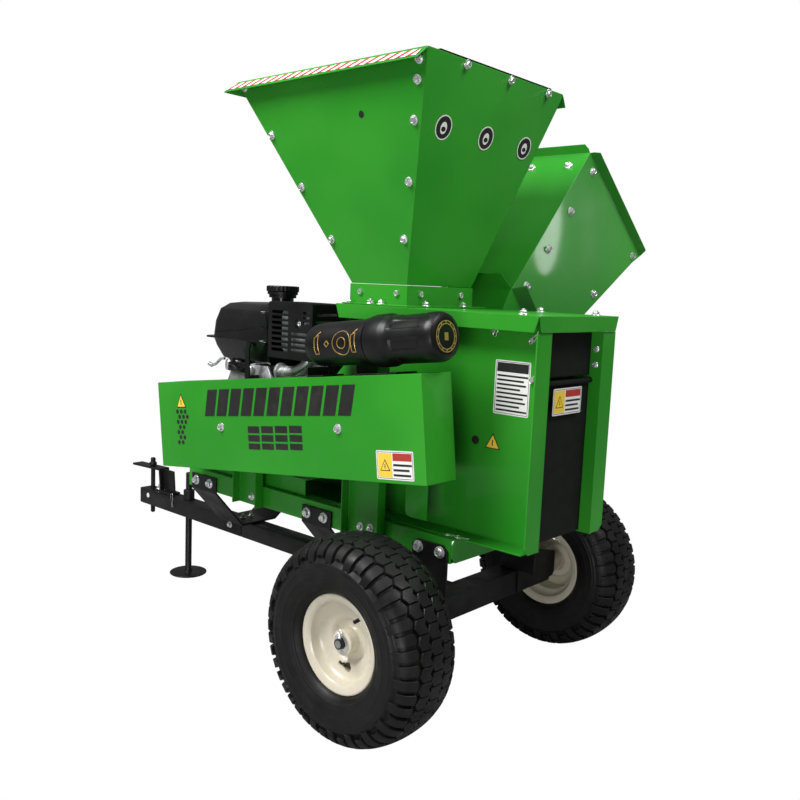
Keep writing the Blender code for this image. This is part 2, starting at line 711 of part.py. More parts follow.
# ---------------------------------------------------------------- engine
def build_engine(mats):
    base_top = 0.3920
    half = 0.1360
    path = [(BODY_Y - half, RAIL_TOP + GAP), (BODY_Y - half, base_top),
            (BODY_Y + half, base_top), (BODY_Y + half, RAIL_TOP + GAP)]
    bent_strip("engine_base", "X", path, -0.004, -0.2600, 0.1400, mats["green"])
    floor = base_top + GAP
    case = prism("engine_crankcase", "Y",
                 [(-0.2150, floor), (0.0150, floor), (0.0150, 0.4200), (-0.0150, 0.4300),
                  (-0.0150, 0.5600), (-0.0500, 0.6220), (-0.1800, 0.6220), (-0.2100, 0.5600),
                  (-0.2100, 0.4200), (-0.2150, 0.4180)],
                 -0.1050, 0.0780, mats["alloy"])
    soften(case, 0.006, 2, 30)
    socket = cylinder("crank_socket_tool", "Y", (ENGINE_X, ENGINE_Z), 0.0140, -0.1200, -0.0700,
                      mats["alloy"])
    cut(case, socket)
    build_head(mats)
    lathe("blower_housing", (ENGINE_X, 0.0, 0.4995), "Y",
          [(0.0100, 0.1480), (0.0550, 0.1480), (0.0620, 0.1380), (0.0860, 0.1340),
           (0.0990, 0.1240), (0.1060, 0.1080), (0.1060, 0.0790), (0.1020, 0.0790),
           (0.1020, 0.1060), (0.0960, 0.1200), (0.0840, 0.1300), (0.0600, 0.1340),
           (0.0530, 0.1440), (0.0100, 0.1440)], mats["plastic"], 36)
    build_tank(mats)
    build_muffler(mats)
    build_small_engine_parts(mats)


def build_head(mats):
    """Finned cylinder and head leaning to the housing side."""
    outline = [(-0.0145, 0.4700)]
    fins = 7
    pitch = 0.0185
    root_low, root_high = 0.4760, 0.5900
    tip_low, tip_high = 0.4660, 0.6020
    for i in range(fins):
        x = -0.0100 + i * pitch
        outline += [(x, root_low), (x, tip_low), (x + 0.0060, tip_low), (x + 0.0060, root_low)]
    end = -0.0100 + fins * pitch
    outline += [(end, root_low), (end, tip_low), (end + 0.0300, tip_low + 0.010),
                (end + 0.0300, tip_high - 0.010), (end, tip_high), (end, root_high)]
    for i in reversed(range(fins)):
        x = -0.0100 + i * pitch
        outline += [(x + 0.0060, root_high), (x + 0.0060, tip_high), (x, tip_high), (x, root_high)]
    outline += [(-0.0145, 0.5960)]
    prism("engine_cylinder", "Y", outline, -0.0750, 0.0500, mats["alloy"])


def build_tank(mats):
    """Fuel tank of two pressed halves with a seam flange between them."""
    x0, x1 = -0.2460, -0.0300
    y0, y1 = -0.1300, 0.1250
    seam = 0.6810
    levels = [
        (0.6230, 0.040), (0.6320, 0.018), (0.6600, 0.006), (seam - 0.002, 0.001),
        (seam - 0.002, -0.012), (seam + 0.002, -0.012), (seam + 0.002, 0.001),
        (0.7200, 0.004), (0.7500, 0.012), (0.7640, 0.028), (0.7680, 0.050),
    ]
    bm = bmesh.new()
    rings = []
    for z, inset in levels:
        ring = []
        corner = 0.028
        for cx, cy, start in ((x1, y1, 0), (x0, y1, 90), (x0, y0, 180), (x1, y0, 270)):
            sx = -1 if cx == x1 else 1
            sy = -1 if cy == y1 else 1
            mid = (cx + sx * (inset + corner), cy + sy * (inset + corner))
            for k in range(5):
                angle = math.radians(start + 22.5 * k)
                ring.append(bm.verts.new((mid[0] + corner * math.cos(angle),
                                          mid[1] + corner * math.sin(angle), z)))
        rings.append(ring)
    bm.faces.new(rings[0])
    bm.faces.new(list(reversed(rings[-1])))
    for here, there in zip(rings, rings[1:]):
        count = len(here)
        for i in range(count):
            j = (i + 1) % count
            bm.faces.new((here[i], here[j], there[j], there[i]))
    tank = add_object("fuel_tank", bm, mats["plastic"], 28)
    cap_x, cap_y = -0.1120, -0.0100
    neck = cylinder("tank_neck_tool", "Z", (cap_x, cap_y), 0.0270, 0.7600, 0.7860,
                    mats["plastic"], 28)
    join(tank, neck)
    cap = lathe("fuel_cap", (cap_x, cap_y, 0.0), "Z",
                [(0.0274, 0.7800), (0.0320, 0.7800), (0.0320, 0.7900), (0.0375, 0.7910),
                 (0.0375, 0.8060), (0.0340, 0.8080), (0.0010, 0.8085), (0.0010, 0.7865),
                 (0.0274, 0.7865)], mats["plastic"], 28)
    move_origin(cap, (cap_x, cap_y, 0.7865))


def build_muffler(mats):
    """Slotted heat guard round the silencer, with the pipe down to the cylinder."""
    guard = box("muffler", (0.0200, 0.1640), (-0.1600, -0.0620), (0.6580, 0.7810), mats["plastic"])
    soften(guard, 0.006, 2)
    join(guard, cylinder("exhaust_pipe_tool", "Z", (0.0700, -0.0740), 0.0140, 0.6023, 0.6700,
                         mats["plastic"], 20))


def build_small_engine_parts(mats):
    cleaner = box("air_cleaner", (0.0180, 0.1760), (-0.0580, 0.0700), (0.6350, 0.7600),
                  mats["plastic"])
    soften(cleaner, 0.014, 2)
    join(cleaner, cylinder("intake_tool", "Z", (0.0600, 0.0100), 0.0200, 0.6023, 0.6500,
                           mats["plastic"], 20))
    grip = (-0.1150, 0.1220, 0.6172)
    handle = turned("starter_handle", grip, "X",
                    [(0.0060, -0.0260), (0.0095, -0.0230), (0.0095, -0.0060), (0.0110, 0.0000),
                     (0.0095, 0.0060), (0.0095, 0.0230), (0.0060, 0.0260)], mats["plastic"], 20)
    move_origin(handle, grip)
    lever_axis = (-0.0830, -0.1100, 0.5950)
    lever = prism("throttle_lever", "Y",
                  [(-0.0910, 0.5870), (-0.0750, 0.5870), (-0.0740, 0.6000), (-0.0780, 0.6600),
                   (-0.0700, 0.6780), (-0.0860, 0.6780), (-0.0900, 0.6560), (-0.0900, 0.6000)],
                  -0.1400, -0.1350, mats["plastic"])
    pivot = cylinder("throttle_pivot_tool", "Y", (lever_axis[0], lever_axis[2]), 0.0050,
                     -0.1380, -0.1054, mats["plastic"], 20)
    join(lever, pivot)
    switch = box("engine_switch", (-0.2220, -0.2103), (-0.0200, 0.0050), (0.4700, 0.5000),
                 mats["plastic"])
    move_origin(switch, (-0.2103, -0.0075, 0.4850))


# ---------------------------------------------------------------- hopper and chute
def ring_points(bounds, z):
    x0, x1, y0, y1 = bounds
    return [(x0, y0, z), (x1, y0, z), (x1, y1, z), (x0, y1, z)]


def build_hopper(mats):
    """Four folded walls with lips turned out and down on three of them."""
    low = ring_points(HOPPER_LOW, COLLAR_TOP + GAP)
    top = ring_points(HOPPER_TOP, RIM_Z)
    drop = LIP * 0.7071
    x0, x1, y0, y1 = HOPPER_TOP
    lip = [
        (x0 - drop, y0 - drop, RIM_Z - drop), (x1 - 0.006, y0 - drop, RIM_Z - drop),
        (x1 - 0.006, y1 + drop, RIM_Z - drop), (x0 - drop, y1 + drop, RIM_Z - drop),
    ]
    points = low + top + lip
    faces = [
        (0, 1, 5, 4), (1, 2, 6, 5), (2, 3, 7, 6), (3, 0, 4, 7),
        (4, 5, 9, 8), (6, 7, 11, 10), (7, 4, 8, 11),
    ]
    sheet("hopper_shell", points, faces, 0.0025, mats["green"], -1.0)
    base = TOP_Z + GAP
    inner = ring_points(HOPPER_LOW, COLLAR_TOP)
    foot = ring_points(HOPPER_LOW, base)
    x0, x1, y0, y1 = HOPPER_LOW
    out = 0.024
    wide = ring_points((x0 - 0.004, x1 + out, y0 - out, y1 + out), base)
    points = inner + foot + wide
    faces = []
    for i in range(4):
        j = (i + 1) % 4
        faces.append((i, i + 4, j + 4, j))
        faces.append((i + 4, i + 8, j + 8, j + 4))
    sheet("hopper_collar", points, faces, 0.0025, mats["green"], 1.0)
    x0, x1, y0, y1 = HOPPER_TOP
    box("hopper_curtain", (x1 - 0.0700, x1 - 0.0040), (y0 + 0.040, y1 - 0.040),
        (RIM_Z + 0.0060, RIM_Z + 0.0088), mats["rubber"])


def duct(ring, near, far):
    """Points and side faces of a duct whose (y, z) outline is repeated at two X positions."""
    count = len(ring)
    points = [(x, y, z) for x in (near, far) for y, z in ring]
    return points, [tuple(range(count)), tuple(reversed(range(count, 2 * count)))]


def build_throat(mats):
    """Duct from the far side plate up to the chute, with flared and cut lips."""
    near, far = CHUTE_X
    ring = [THROAT_TOP_FOOT, THROAT_TOP, THROAT_LOW, THROAT_LOW_FOOT]
    points, faces = duct(ring, near, far)
    faces += [(0, 4, 5, 1), (2, 6, 7, 3)]
    top, low = Vector(THROAT_TOP), Vector(THROAT_LOW)
    along = (low - top).normalized()
    flare = THROAT_LIP * 0.7071
    axis = Vector((-along.y, along.x)) * flare
    corner = 0.027
    start = len(points)
    rise = top + axis - along * flare
    points += [(near + corner, *rise), (far - corner, *rise)]
    faces.append((1, 5, start + 1, start))
    first = top + along * corner * 0.35 + axis
    last = low - along * corner + axis
    start = len(points)
    points += [(near - flare, *first), (near - flare, *last)]
    faces.append((2, 1, start, start + 1))
    start = len(points)
    points += [(far + flare, *first), (far + flare, *last)]
    faces.append((5, 6, start + 1, start))
    sheet("chute_throat", points, faces, 0.0025, mats["green"], 1.0)


def build_chute(mats):
    """Tapered chute leaning out over the far side, open at both ends."""
    near, far = CHUTE_X[0] + 0.0031, CHUTE_X[1] - 0.0031
    ring = [CHUTE_TOP_FOOT, CHUTE_TOP, CHUTE_CORNER, CHUTE_LOW, CHUTE_LOW_FOOT]
    points, faces = duct(ring, near, far)
    faces += [(0, 5, 6, 1), (3, 8, 9, 4)]
    top, corner = Vector(CHUTE_TOP), Vector(CHUTE_CORNER)
    along = (corner - top).normalized()
    flare = Vector((-along.y, along.x)) * CHUTE_LIP * 0.5
    out = CHUTE_LIP * 0.866
    bevel = 0.010
    start = len(points)
    edge, crown = top - along * out * 0.5 + flare * 0.5, top - along * out + flare
    points += [
        (near + 0.001, *edge), (near + bevel, *crown), (far - bevel, *crown), (far - 0.001, *edge),
    ]
    faces.append((1, 6, start + 3, start + 2, start + 1, start))
    inner = top + along * 0.002 + flare * 0.5
    first = top + along * 0.010 + flare
    last = corner - along * 0.012 + flare
    start = len(points)
    points += [(near - out * 0.5, *inner), (near - out, *first), (near - out, *last)]
    faces.append((2, 1, start, start + 1, start + 2))
    start = len(points)
    points += [(far + out * 0.5, *inner), (far + out, *first), (far + out, *last)]
    faces.append((6, 7, start + 2, start + 1, start))
    sheet("chipper_chute", points, faces, 0.0025, mats["green"], 1.0)


def build_all():
    for obj in list(bpy.data.objects):
        bpy.data.objects.remove(obj, do_unlink=True)
    mats = make_materials()
    build_axle(mats)
    build_wheel("left", -1, mats)
    build_wheel("right", 1, mats)
    build_tongue(mats)
    build_hitch(mats)
    build_jack(mats)
    build_frame(mats)
    build_straps(mats)
    build_axle_brackets(mats)
    build_side_plate("left", -1, mats)
    build_side_plate("right", 1, mats)
    build_top_plate(mats)
    build_housing_wraps(mats)
    build_flap(mats)
    build_rotor(mats)
    build_drive(mats)
    build_guard(mats)
    build_canister(mats)
    build_engine(mats)
    build_hopper(mats)
    build_throat(mats)
    build_chute(mats)


build_all()
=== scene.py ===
"""Looks of a towed wood chipper shredder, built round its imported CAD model."""
import json
import math

import bmesh
import bpy
import numpy as np
from mathutils import Matrix, Vector


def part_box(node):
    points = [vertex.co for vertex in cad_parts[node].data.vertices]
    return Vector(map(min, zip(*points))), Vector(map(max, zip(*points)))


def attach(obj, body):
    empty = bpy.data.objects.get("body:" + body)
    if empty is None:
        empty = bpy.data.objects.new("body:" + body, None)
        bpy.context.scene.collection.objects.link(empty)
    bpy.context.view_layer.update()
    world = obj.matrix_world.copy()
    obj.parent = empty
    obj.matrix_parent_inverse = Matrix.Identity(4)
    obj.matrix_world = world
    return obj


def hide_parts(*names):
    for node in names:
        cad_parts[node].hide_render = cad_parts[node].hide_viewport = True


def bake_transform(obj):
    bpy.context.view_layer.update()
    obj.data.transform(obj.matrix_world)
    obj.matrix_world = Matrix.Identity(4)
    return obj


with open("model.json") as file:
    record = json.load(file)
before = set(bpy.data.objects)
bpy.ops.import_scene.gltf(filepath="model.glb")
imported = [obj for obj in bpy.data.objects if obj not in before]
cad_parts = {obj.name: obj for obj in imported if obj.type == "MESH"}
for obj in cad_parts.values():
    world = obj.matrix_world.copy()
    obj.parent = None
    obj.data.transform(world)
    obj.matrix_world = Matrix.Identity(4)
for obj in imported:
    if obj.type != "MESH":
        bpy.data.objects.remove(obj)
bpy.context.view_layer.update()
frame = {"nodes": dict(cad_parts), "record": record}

X, Y, Z = Vector((1, 0, 0)), Vector((0, 1, 0)), Vector((0, 0, 1))

# ---------------------------------------------------------------- sizes taken from the frame
BODY = "machine"
guard_low, guard_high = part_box("belt_guard")
tongue_low, tongue_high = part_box("tongue_front_tube")
TONGUE_NEAR, TONGUE_TOP = tongue_low.y, tongue_high.z
TOP_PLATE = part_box("top_plate")[1].z
NEAR_OUTER, FAR_INNER = -0.109, 0.078
CHUTE_NEAR, CHUTE_FAR = 0.2806, 0.4494

GUARD_TILT = math.radians(7.1)
GUARD_CENTRE = Vector(((guard_low.x + guard_high.x) / 2, 0.0, (guard_low.z + guard_high.z) / 2))
GUARD_FACE = guard_low.y
HOPPER_TOP = (-0.01, 0.5135, -0.236, 0.208)
HOPPER_LOW = (0.2332, 0.3865, -0.119, 0.091)
HOPPER_FOOT, HOPPER_RIM = 0.8243, 1.231
AXLE = Vector((0.4914, 0.0, 0.1905))
TRACK_HALF = 0.334


# ---------------------------------------------------------------- materials
class Finish:
    """One material, with short calls for the nodes that vary it over the surface."""

    def __init__(self, name, colour, rough, metal=0.0, coat=0.0, coat_rough=0.1, specular=0.5):
        self.mat = bpy.data.materials.new(name)
        self.mat.use_nodes = True
        self.tree = self.mat.node_tree
        self.bsdf = self.tree.nodes["Principled BSDF"]
        self.set("Base Color", (*colour, 1.0))
        self.set("Roughness", rough)
        self.set("Metallic", metal)
        self.set("Coat Weight", coat)
        self.set("Coat Roughness", coat_rough)
        self.set("Specular IOR Level", specular)
        self.coords = self.add("ShaderNodeTexCoord").outputs["Object"]
        self.height = None

    def set(self, socket, value):
        self.bsdf.inputs[socket].default_value = value

    def add(self, kind, **values):
        node = self.tree.nodes.new(kind)
        for key, value in values.items():
            setattr(node, key, value)
        return node

    def link(self, source, target):
        self.tree.links.new(source, target)

    def noise(self, scale, detail=3.0, rough=0.5, stretch=None):
        node = self.add("ShaderNodeTexNoise")
        node.inputs["Scale"].default_value = scale
        node.inputs["Detail"].default_value = detail
        node.inputs["Roughness"].default_value = rough
        source = self.coords
        if stretch:
            mapping = self.add("ShaderNodeMapping")
            mapping.inputs["Scale"].default_value = stretch
            self.link(source, mapping.inputs["Vector"])
            source = mapping.outputs["Vector"]
        self.link(source, node.inputs["Vector"])
        return node.outputs["Fac"]

    def cells(self, scale, feature="F1"):
        node = self.add("ShaderNodeTexVoronoi", feature=feature)
        node.inputs["Scale"].default_value = scale
        self.link(self.coords, node.inputs["Vector"])
        return node.outputs["Distance"]

    def ramp(self, source, low, high, out_low=0.0, out_high=1.0):
        node = self.add("ShaderNodeMapRange")
        node.interpolation_type = "SMOOTHSTEP"
        node.inputs["From Min"].default_value = low
        node.inputs["From Max"].default_value = high
        node.inputs["To Min"].default_value = out_low
        node.inputs["To Max"].default_value = out_high
        self.link(source, node.inputs["Value"])
        return node.outputs["Result"]

    def mix(self, factor, a, b):
        """Mixes two colours, each a colour or another mix."""
        node = self.add("ShaderNodeMix", data_type="RGBA")
        self.link(factor, node.inputs["Factor"])
        for socket, value in ((node.inputs[6], a), (node.inputs[7], b)):
            if isinstance(value, tuple):
                socket.default_value = (*value, 1.0)
            else:
                self.link(value, socket)
        return node.outputs[2]

    def colour(self, source):
        self.link(source, self.bsdf.inputs["Base Color"])

    def rough(self, source):
        self.link(source, self.bsdf.inputs["Roughness"])

    def bump(self, source, distance, strength=1.0):
        node = self.add("ShaderNodeBump")
        node.inputs["Strength"].default_value = strength
        node.inputs["Distance"].default_value = distance
        self.link(source, node.inputs["Height"])
        if self.height is not None:
            self.link(self.height, node.inputs["Normal"])
        self.height = node.outputs["Normal"]
        self.link(self.height, self.bsdf.inputs["Normal"])


def powder_coat(name, colour, shade, rough, coat, peel=0.00012):
    """Baked powder paint: orange peel, slow waves of thin sheet, faint dust and small scuffs."""
    f = Finish(name, colour, rough, coat=coat, coat_rough=0.07, specular=0.22)
    broad = f.ramp(f.noise(3.0, 2.0), 0.35, 0.65)
    dust = f.ramp(f.noise(14.0, 5.0, 0.6), 0.52, 0.75, 0.0, 0.1)
    grey = tuple(0.6 * c + 0.05 for c in colour)
    f.colour(f.mix(dust, f.mix(broad, shade, colour), grey))
    f.rough(f.ramp(f.noise(9.0, 5.0, 0.6), 0.3, 0.7, rough - 0.04, rough + 0.07))
    f.bump(f.noise(420.0, 2.0), peel, 0.5)
    f.bump(f.noise(22.0, 2.0), 0.0012, 0.3)
    f.bump(f.noise(5.0, 1.0), 0.004, 0.3)
    return f.mat


def satin_black(name):
    f = Finish(name, (0.007, 0.007, 0.0075), 0.42, coat=0.05, specular=0.3)
    worn = f.ramp(f.noise(26.0, 6.0, 0.65), 0.6, 0.72, 0.0, 0.5)
    f.colour(f.mix(worn, (0.006, 0.006, 0.0065), (0.022, 0.021, 0.02)))
    f.rough(f.ramp(f.noise(18.0, 4.0), 0.3, 0.7, 0.34, 0.55))
    f.bump(f.noise(300.0, 2.0), 0.00018, 0.6)
    return f.mat


def cream_enamel(name):
    f = Finish(name, (0.6, 0.55, 0.43), 0.25, coat=0.3, coat_rough=0.1)
    grime = f.ramp(f.noise(22.0, 5.0, 0.6), 0.5, 0.78, 0.0, 0.35)
    f.colour(f.mix(grime, (0.62, 0.57, 0.455), (0.4, 0.35, 0.26)))
    f.rough(f.ramp(f.noise(15.0, 4.0), 0.3, 0.7, 0.2, 0.36))
    f.bump(f.noise(240.0, 2.0), 0.00015, 0.5)
    return f.mat


def tyre_rubber(name):
    f = Finish(name, (0.006, 0.006, 0.006), 0.5, specular=0.24)
    dusty = f.ramp(f.noise(32.0, 6.0, 0.65), 0.48, 0.74, 0.0, 0.45)
    f.colour(f.mix(dusty, (0.0055, 0.0055, 0.0055), (0.018, 0.0175, 0.0155)))
    f.rough(f.ramp(f.noise(24.0, 4.0), 0.3, 0.7, 0.36, 0.62))
    f.bump(f.noise(520.0, 3.0), 0.00022, 0.6)
    return f.mat


def sheet_rubber(name):
    """Reinforced rubber sheet with the print of its fabric."""
    f = Finish(name, (0.006, 0.006, 0.006), 0.72, specular=0.2)
    f.colour(f.mix(f.ramp(f.noise(40.0, 4.0), 0.4, 0.8, 0.0, 0.4), (0.005, 0.006, 0.005),
                   (0.014, 0.015, 0.013)))
    weave = f.add("ShaderNodeTexWave", wave_type="BANDS", bands_direction="DIAGONAL")
    weave.inputs["Scale"].default_value = 260.0
    f.link(f.coords, weave.inputs["Vector"])
    f.bump(weave.outputs["Fac"], 0.00015, 0.4)
    f.bump(f.noise(200.0, 3.0), 0.0003, 0.5)
    return f.mat


def moulded_black(name, rough, grain, coat=0.0):
    f = Finish(name, (0.006, 0.006, 0.0065), rough, coat=coat, coat_rough=0.08, specular=0.3)
    f.colour(f.mix(f.ramp(f.noise(12.0, 4.0), 0.4, 0.8), (0.005, 0.005, 0.0052), (0.01, 0.01, 0.0105)))
    f.rough(f.ramp(f.noise(20.0, 5.0), 0.3, 0.7, rough - 0.05, rough + 0.08))
    f.bump(f.noise(600.0, 2.0), grain, 0.7)
    return f.mat


def bright_zinc(name):
    f = Finish(name, (0.86, 0.87, 0.88), 0.34, metal=0.85)
    f.colour(f.mix(f.ramp(f.noise(160.0, 4.0), 0.35, 0.7), (0.9, 0.91, 0.92), (0.68, 0.69, 0.7)))
    f.rough(f.ramp(f.noise(220.0, 4.0), 0.3, 0.7, 0.26, 0.44))
    f.bump(f.noise(900.0, 2.0), 0.00008, 0.5)
    return f.mat


def bare_steel(name):
    f = Finish(name, (0.5, 0.5, 0.51), 0.35, metal=1.0)
    streaks = f.noise(60.0, 4.0, 0.6, stretch=(1.0, 12.0, 1.0))
    f.colour(f.mix(f.ramp(streaks, 0.35, 0.7), (0.56, 0.56, 0.57), (0.33, 0.32, 0.31)))
    f.rough(f.ramp(streaks, 0.3, 0.7, 0.26, 0.48))
    f.bump(streaks, 0.0001, 0.5)
    return f.mat


def cast_alloy(name):
    f = Finish(name, (0.5, 0.51, 0.52), 0.42, metal=0.9)
    f.colour(f.mix(f.ramp(f.noise(45.0, 5.0, 0.6), 0.35, 0.75), (0.58, 0.59, 0.6), (0.3, 0.3, 0.3)))
    f.rough(f.ramp(f.noise(60.0, 5.0), 0.3, 0.7, 0.3, 0.58))
    f.bump(f.cells(260.0), 0.0003, 0.6)
    return f.mat


def printed(name, colour, rough=0.45, metal=0.0):
    """Screen-printed or vinyl marks, a little uneven and scuffed."""
    f = Finish(name, colour, rough, metal=metal)
    worn = f.ramp(f.noise(60.0, 5.0, 0.6), 0.5, 0.8, 0.0, 0.25)
    f.colour(f.mix(worn, colour, tuple(0.6 * c + 0.06 for c in colour)))
    f.rough(f.ramp(f.noise(35.0, 3.0), 0.3, 0.7, rough - 0.08, rough + 0.1))
    f.bump(f.noise(500.0, 2.0), 0.00004, 0.4)
    return f.mat


green = powder_coat("green_powder_coat", (0.03, 0.3, 0.019), (0.018, 0.25, 0.013), 0.42, 0.22)
black = satin_black("black_powder_coat")
cream = cream_enamel("cream_enamel")
rubber = tyre_rubber("tyre_rubber")
flap = sheet_rubber("rubber_sheet")
gloss_black = moulded_black("gloss_black_enamel", 0.22, 0.00005, 0.3)
grain_black = moulded_black("grained_black_plastic", 0.4, 0.00012)
zinc = bright_zinc("bright_zinc")
steel = bare_steel("bare_steel")
alloy = cast_alloy("cast_alloy")
ink = printed("black_print", (0.012, 0.012, 0.011))
yellow_print = printed("yellow_print", (0.85, 0.6, 0.05))
white_print = printed("white_print", (0.82, 0.82, 0.8))
red_print = printed("red_print", (0.42, 0.035, 0.025))
gilt = printed("gilt_print", (0.62, 0.4, 0.12), 0.3, 0.6)
satin_plastic = moulded_black("satin_black_plastic", 0.34, 0.00008)
rope_black = moulded_black("black_cord", 0.75, 0.0003)

SLOT_MATERIALS = {
    "green_coat": green, "black_coat": black, "cream_coat": cream, "tyre_rubber": rubber,
    "flap_rubber": flap, "belt_rubber": flap, "steel": steel, "cast_metal": alloy,
    "black_plastic": grain_black,
}


def dress_frame():
    """Gives each CAD node its finish, merged edges and small rounded corners."""
    slots = {s["node"]: s["material_slot"] for s in frame["record"]["subparts"]}
    for name, node in frame["nodes"].items():
        mesh = node.data
        mesh.materials.clear()
        mesh.materials.append(gloss_black if name == "fuel_tank" else SLOT_MATERIALS[slots[name]])
        if "custom_normal" in mesh.attributes:
            mesh.attributes.remove(mesh.attributes["custom_normal"])
        mesh.polygons.foreach_set("use_smooth", [True] * len(mesh.polygons))
        mesh.polygons.foreach_set("material_index", [0] * len(mesh.polygons))
        weld = node.modifiers.new("merge", "WELD")
        weld.merge_threshold = 0.00002
        flat = node.modifiers.new("flats", "DECIMATE")
        flat.decimate_type = "DISSOLVE"
        flat.angle_limit = math.radians(0.6)
        bevel = node.modifiers.new("edges", "BEVEL")
        bevel.limit_method = "ANGLE"
        bevel.angle_limit = math.radians(32)
        bevel.width = 0.0014
        bevel.segments = 2
        bevel.harden_normals = True
        bevel.use_clamp_overlap = True


dress_frame()


# ---------------------------------------------------------------- shapes
def frame_of(normal, turn=0.0):
    """A rotation whose local +Z is the normal, turned about it."""
    normal = Vector(normal).normalized()
    return normal.to_track_quat("Z", "Y").to_matrix().to_4x4() @ Matrix.Rotation(turn, 4, "Z")


class Kit:
    """Gathers shapes into one named piece that rides on one body."""

    def __init__(self, name, material, body=BODY, smooth=35.0):
        self.name = name
        self.materials = [material] if not isinstance(material, (list, tuple)) else list(material)
        self.body = body
        self.smooth = math.radians(smooth)
        self.verts, self.faces, self.marks = [], [], []

    def add(self, verts, faces, place=None, mark=0):
        start = len(self.verts)
        place = place or Matrix.Identity(4)
        self.verts += [place @ Vector(v) for v in verts]
        self.faces += [tuple(start + i for i in f) for f in faces]
        self.marks += [mark] * len(faces)

    def spin(self, profile, place=None, count=48, radius=None, mark=0, closed=False):
        """Turns (radius, height) points about local Z; radius(r, h, angle) may vary it."""
        verts, faces = [], []
        rows = []
        for r, h in profile:
            if r < 1e-6:
                rows.append([len(verts)])
                verts.append((0.0, 0.0, h))
                continue
            row = []
            for i in range(count):
                a = math.tau * i / count
                rr = radius(r, h, a) if radius else r
                row.append(len(verts))
                verts.append((rr * math.cos(a), rr * math.sin(a), h))
            rows.append(row)
        pairs = list(zip(rows, rows[1:]))
        if closed:
            pairs.append((rows[-1], rows[0]))
        for a, b in pairs:
            for i in range(count):
                j = (i + 1) % count
                ring = [a[i % len(a)], a[j % len(a)], b[j % len(b)], b[i % len(b)]]
                ring = [v for k, v in enumerate(ring) if v not in ring[:k]]
                if len(ring) > 2:
                    faces.append(ring)
        if not closed:
            for row, flip in ((rows[0], True), (rows[-1], False)):
                if len(row) > 1:
                    faces.append(row[::-1] if flip else row)
        self.add(verts, faces, place, mark)

    def prism(self, outline, low, high, place=None, mark=0):
        """An (a, b) outline in the local XY plane, raised from low to high along Z."""
        n = len(outline)
        verts = [(a, b, low) for a, b in outline] + [(a, b, high) for a, b in outline]
        faces = [tuple(reversed(range(n))), tuple(range(n, 2 * n))]
        faces += [(i, (i + 1) % n, n + (i + 1) % n, n + i) for i in range(n)]
        self.add(verts, faces, place, mark)

    def block(self, x, y, z, mark=0):
        self.prism([(x[0], y[0]), (x[1], y[0]), (x[1], y[1]), (x[0], y[1])], z[0], z[1], None, mark)

    def rod(self, points, radius, count=10, mark=0):
        """A round wire or tube along a list of points, with closed ends."""
        points = [Vector(p) for p in points]
        verts, faces = [], []
        side = None
        for k, p in enumerate(points):
            ahead = (points[min(k + 1, len(points) - 1)] - points[max(k - 1, 0)]).normalized()
            if side is None:
                side = ahead.orthogonal().normalized()
            side = (side - ahead * side.dot(ahead)).normalized()
            up = ahead.cross(side)
            r = radius[k] if isinstance(radius, (list, tuple)) else radius
            for i in range(count):
                a = math.tau * i / count
                verts.append(p + r * (math.cos(a) * side + math.sin(a) * up))
        for k in range(len(points) - 1):
            for i in range(count):
                j = (i + 1) % count
                faces.append((k * count + i, k * count + j, (k + 1) * count + j, (k + 1) * count + i))
        faces.append(tuple(reversed(range(count))))
        faces.append(tuple(range((len(points) - 1) * count, len(points) * count)))
        self.add(verts, faces, None, mark)

    def bolt(self, point, normal, size=0.0065, stud=0.0, turn=0.3, mark=0):
        """A hex flange bolt or nut; size is the hexagon's corner radius. A stud stands out of a nut."""
        place = Matrix.Translation(Vector(point)) @ frame_of(normal, turn)
        flange = size * 1.42
        self.spin([(0.0, 0.0), (flange, 0.0), (flange * 1.02, size * 0.1), (flange * 0.96, size * 0.24),
                   (size * 1.06, size * 0.36), (0.0, size * 0.36)], place, 24, None, mark)
        self.spin([(size, size * 0.3), (size, size * 0.95), (size * 0.86, size * 1.12),
                   (size * 0.7, size * 1.14),
                   (size * 0.6, size * 1.04), (0.0, size * 1.04)], place, 6, None, mark)
        if stud:
            r = size * 0.52
            self.spin([(r, size * 0.9), (r, size * 1.1 + stud - r * 0.25), (r * 0.75, size * 1.1 + stud),
                       (0.0, size * 1.1 + stud)], place, 16, None, mark)

    def clean(self, bevel=0.0, segments=2, angle=32.0, slot=None, replaces=()):
        """Makes the object, with outward faces and softened corners."""
        bm = bmesh.new()
        made = [bm.verts.new(v) for v in self.verts]
        for f, mark in zip(self.faces, self.marks):
            face = bm.faces.new([made[i] for i in f])
            face.material_index = mark
            face.smooth = True
        bmesh.ops.recalc_face_normals(bm, faces=bm.faces)
        if bevel:
            edges = [e for e in bm.edges if len(e.link_faces) == 2
                     and e.calc_face_angle(0.0) > math.radians(angle)]
            bmesh.ops.bevel(bm, geom=edges, offset=bevel, segments=segments, profile=0.5, affect="EDGES",
                            clamp_overlap=True)
            for face in bm.faces:
                face.smooth = True
        for edge in bm.edges:
            edge.smooth = not (len(edge.link_faces) == 2 and edge.calc_face_angle(0.0) > self.smooth)
        mesh = bpy.data.meshes.new(self.name)
        bm.to_mesh(mesh)
        bm.free()
        for material in self.materials:
            mesh.materials.append(material)
        obj = bpy.data.objects.new(self.name, mesh)
        bpy.context.scene.collection.objects.link(obj)
        if self.body:
            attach(obj, self.body)
        if replaces:
            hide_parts(*replaces)
        return obj


def lerp(a, b, t):
    return a + (b - a) * t


def arc(centre, radius, start, end, steps):
    """Points on an arc, in degrees, in a plane."""
    points = []
    for i in range(steps + 1):
        a = math.radians(lerp(start, end, i / steps))
        points.append((centre[0] + radius * math.cos(a), centre[1] + radius * math.sin(a)))
    return points


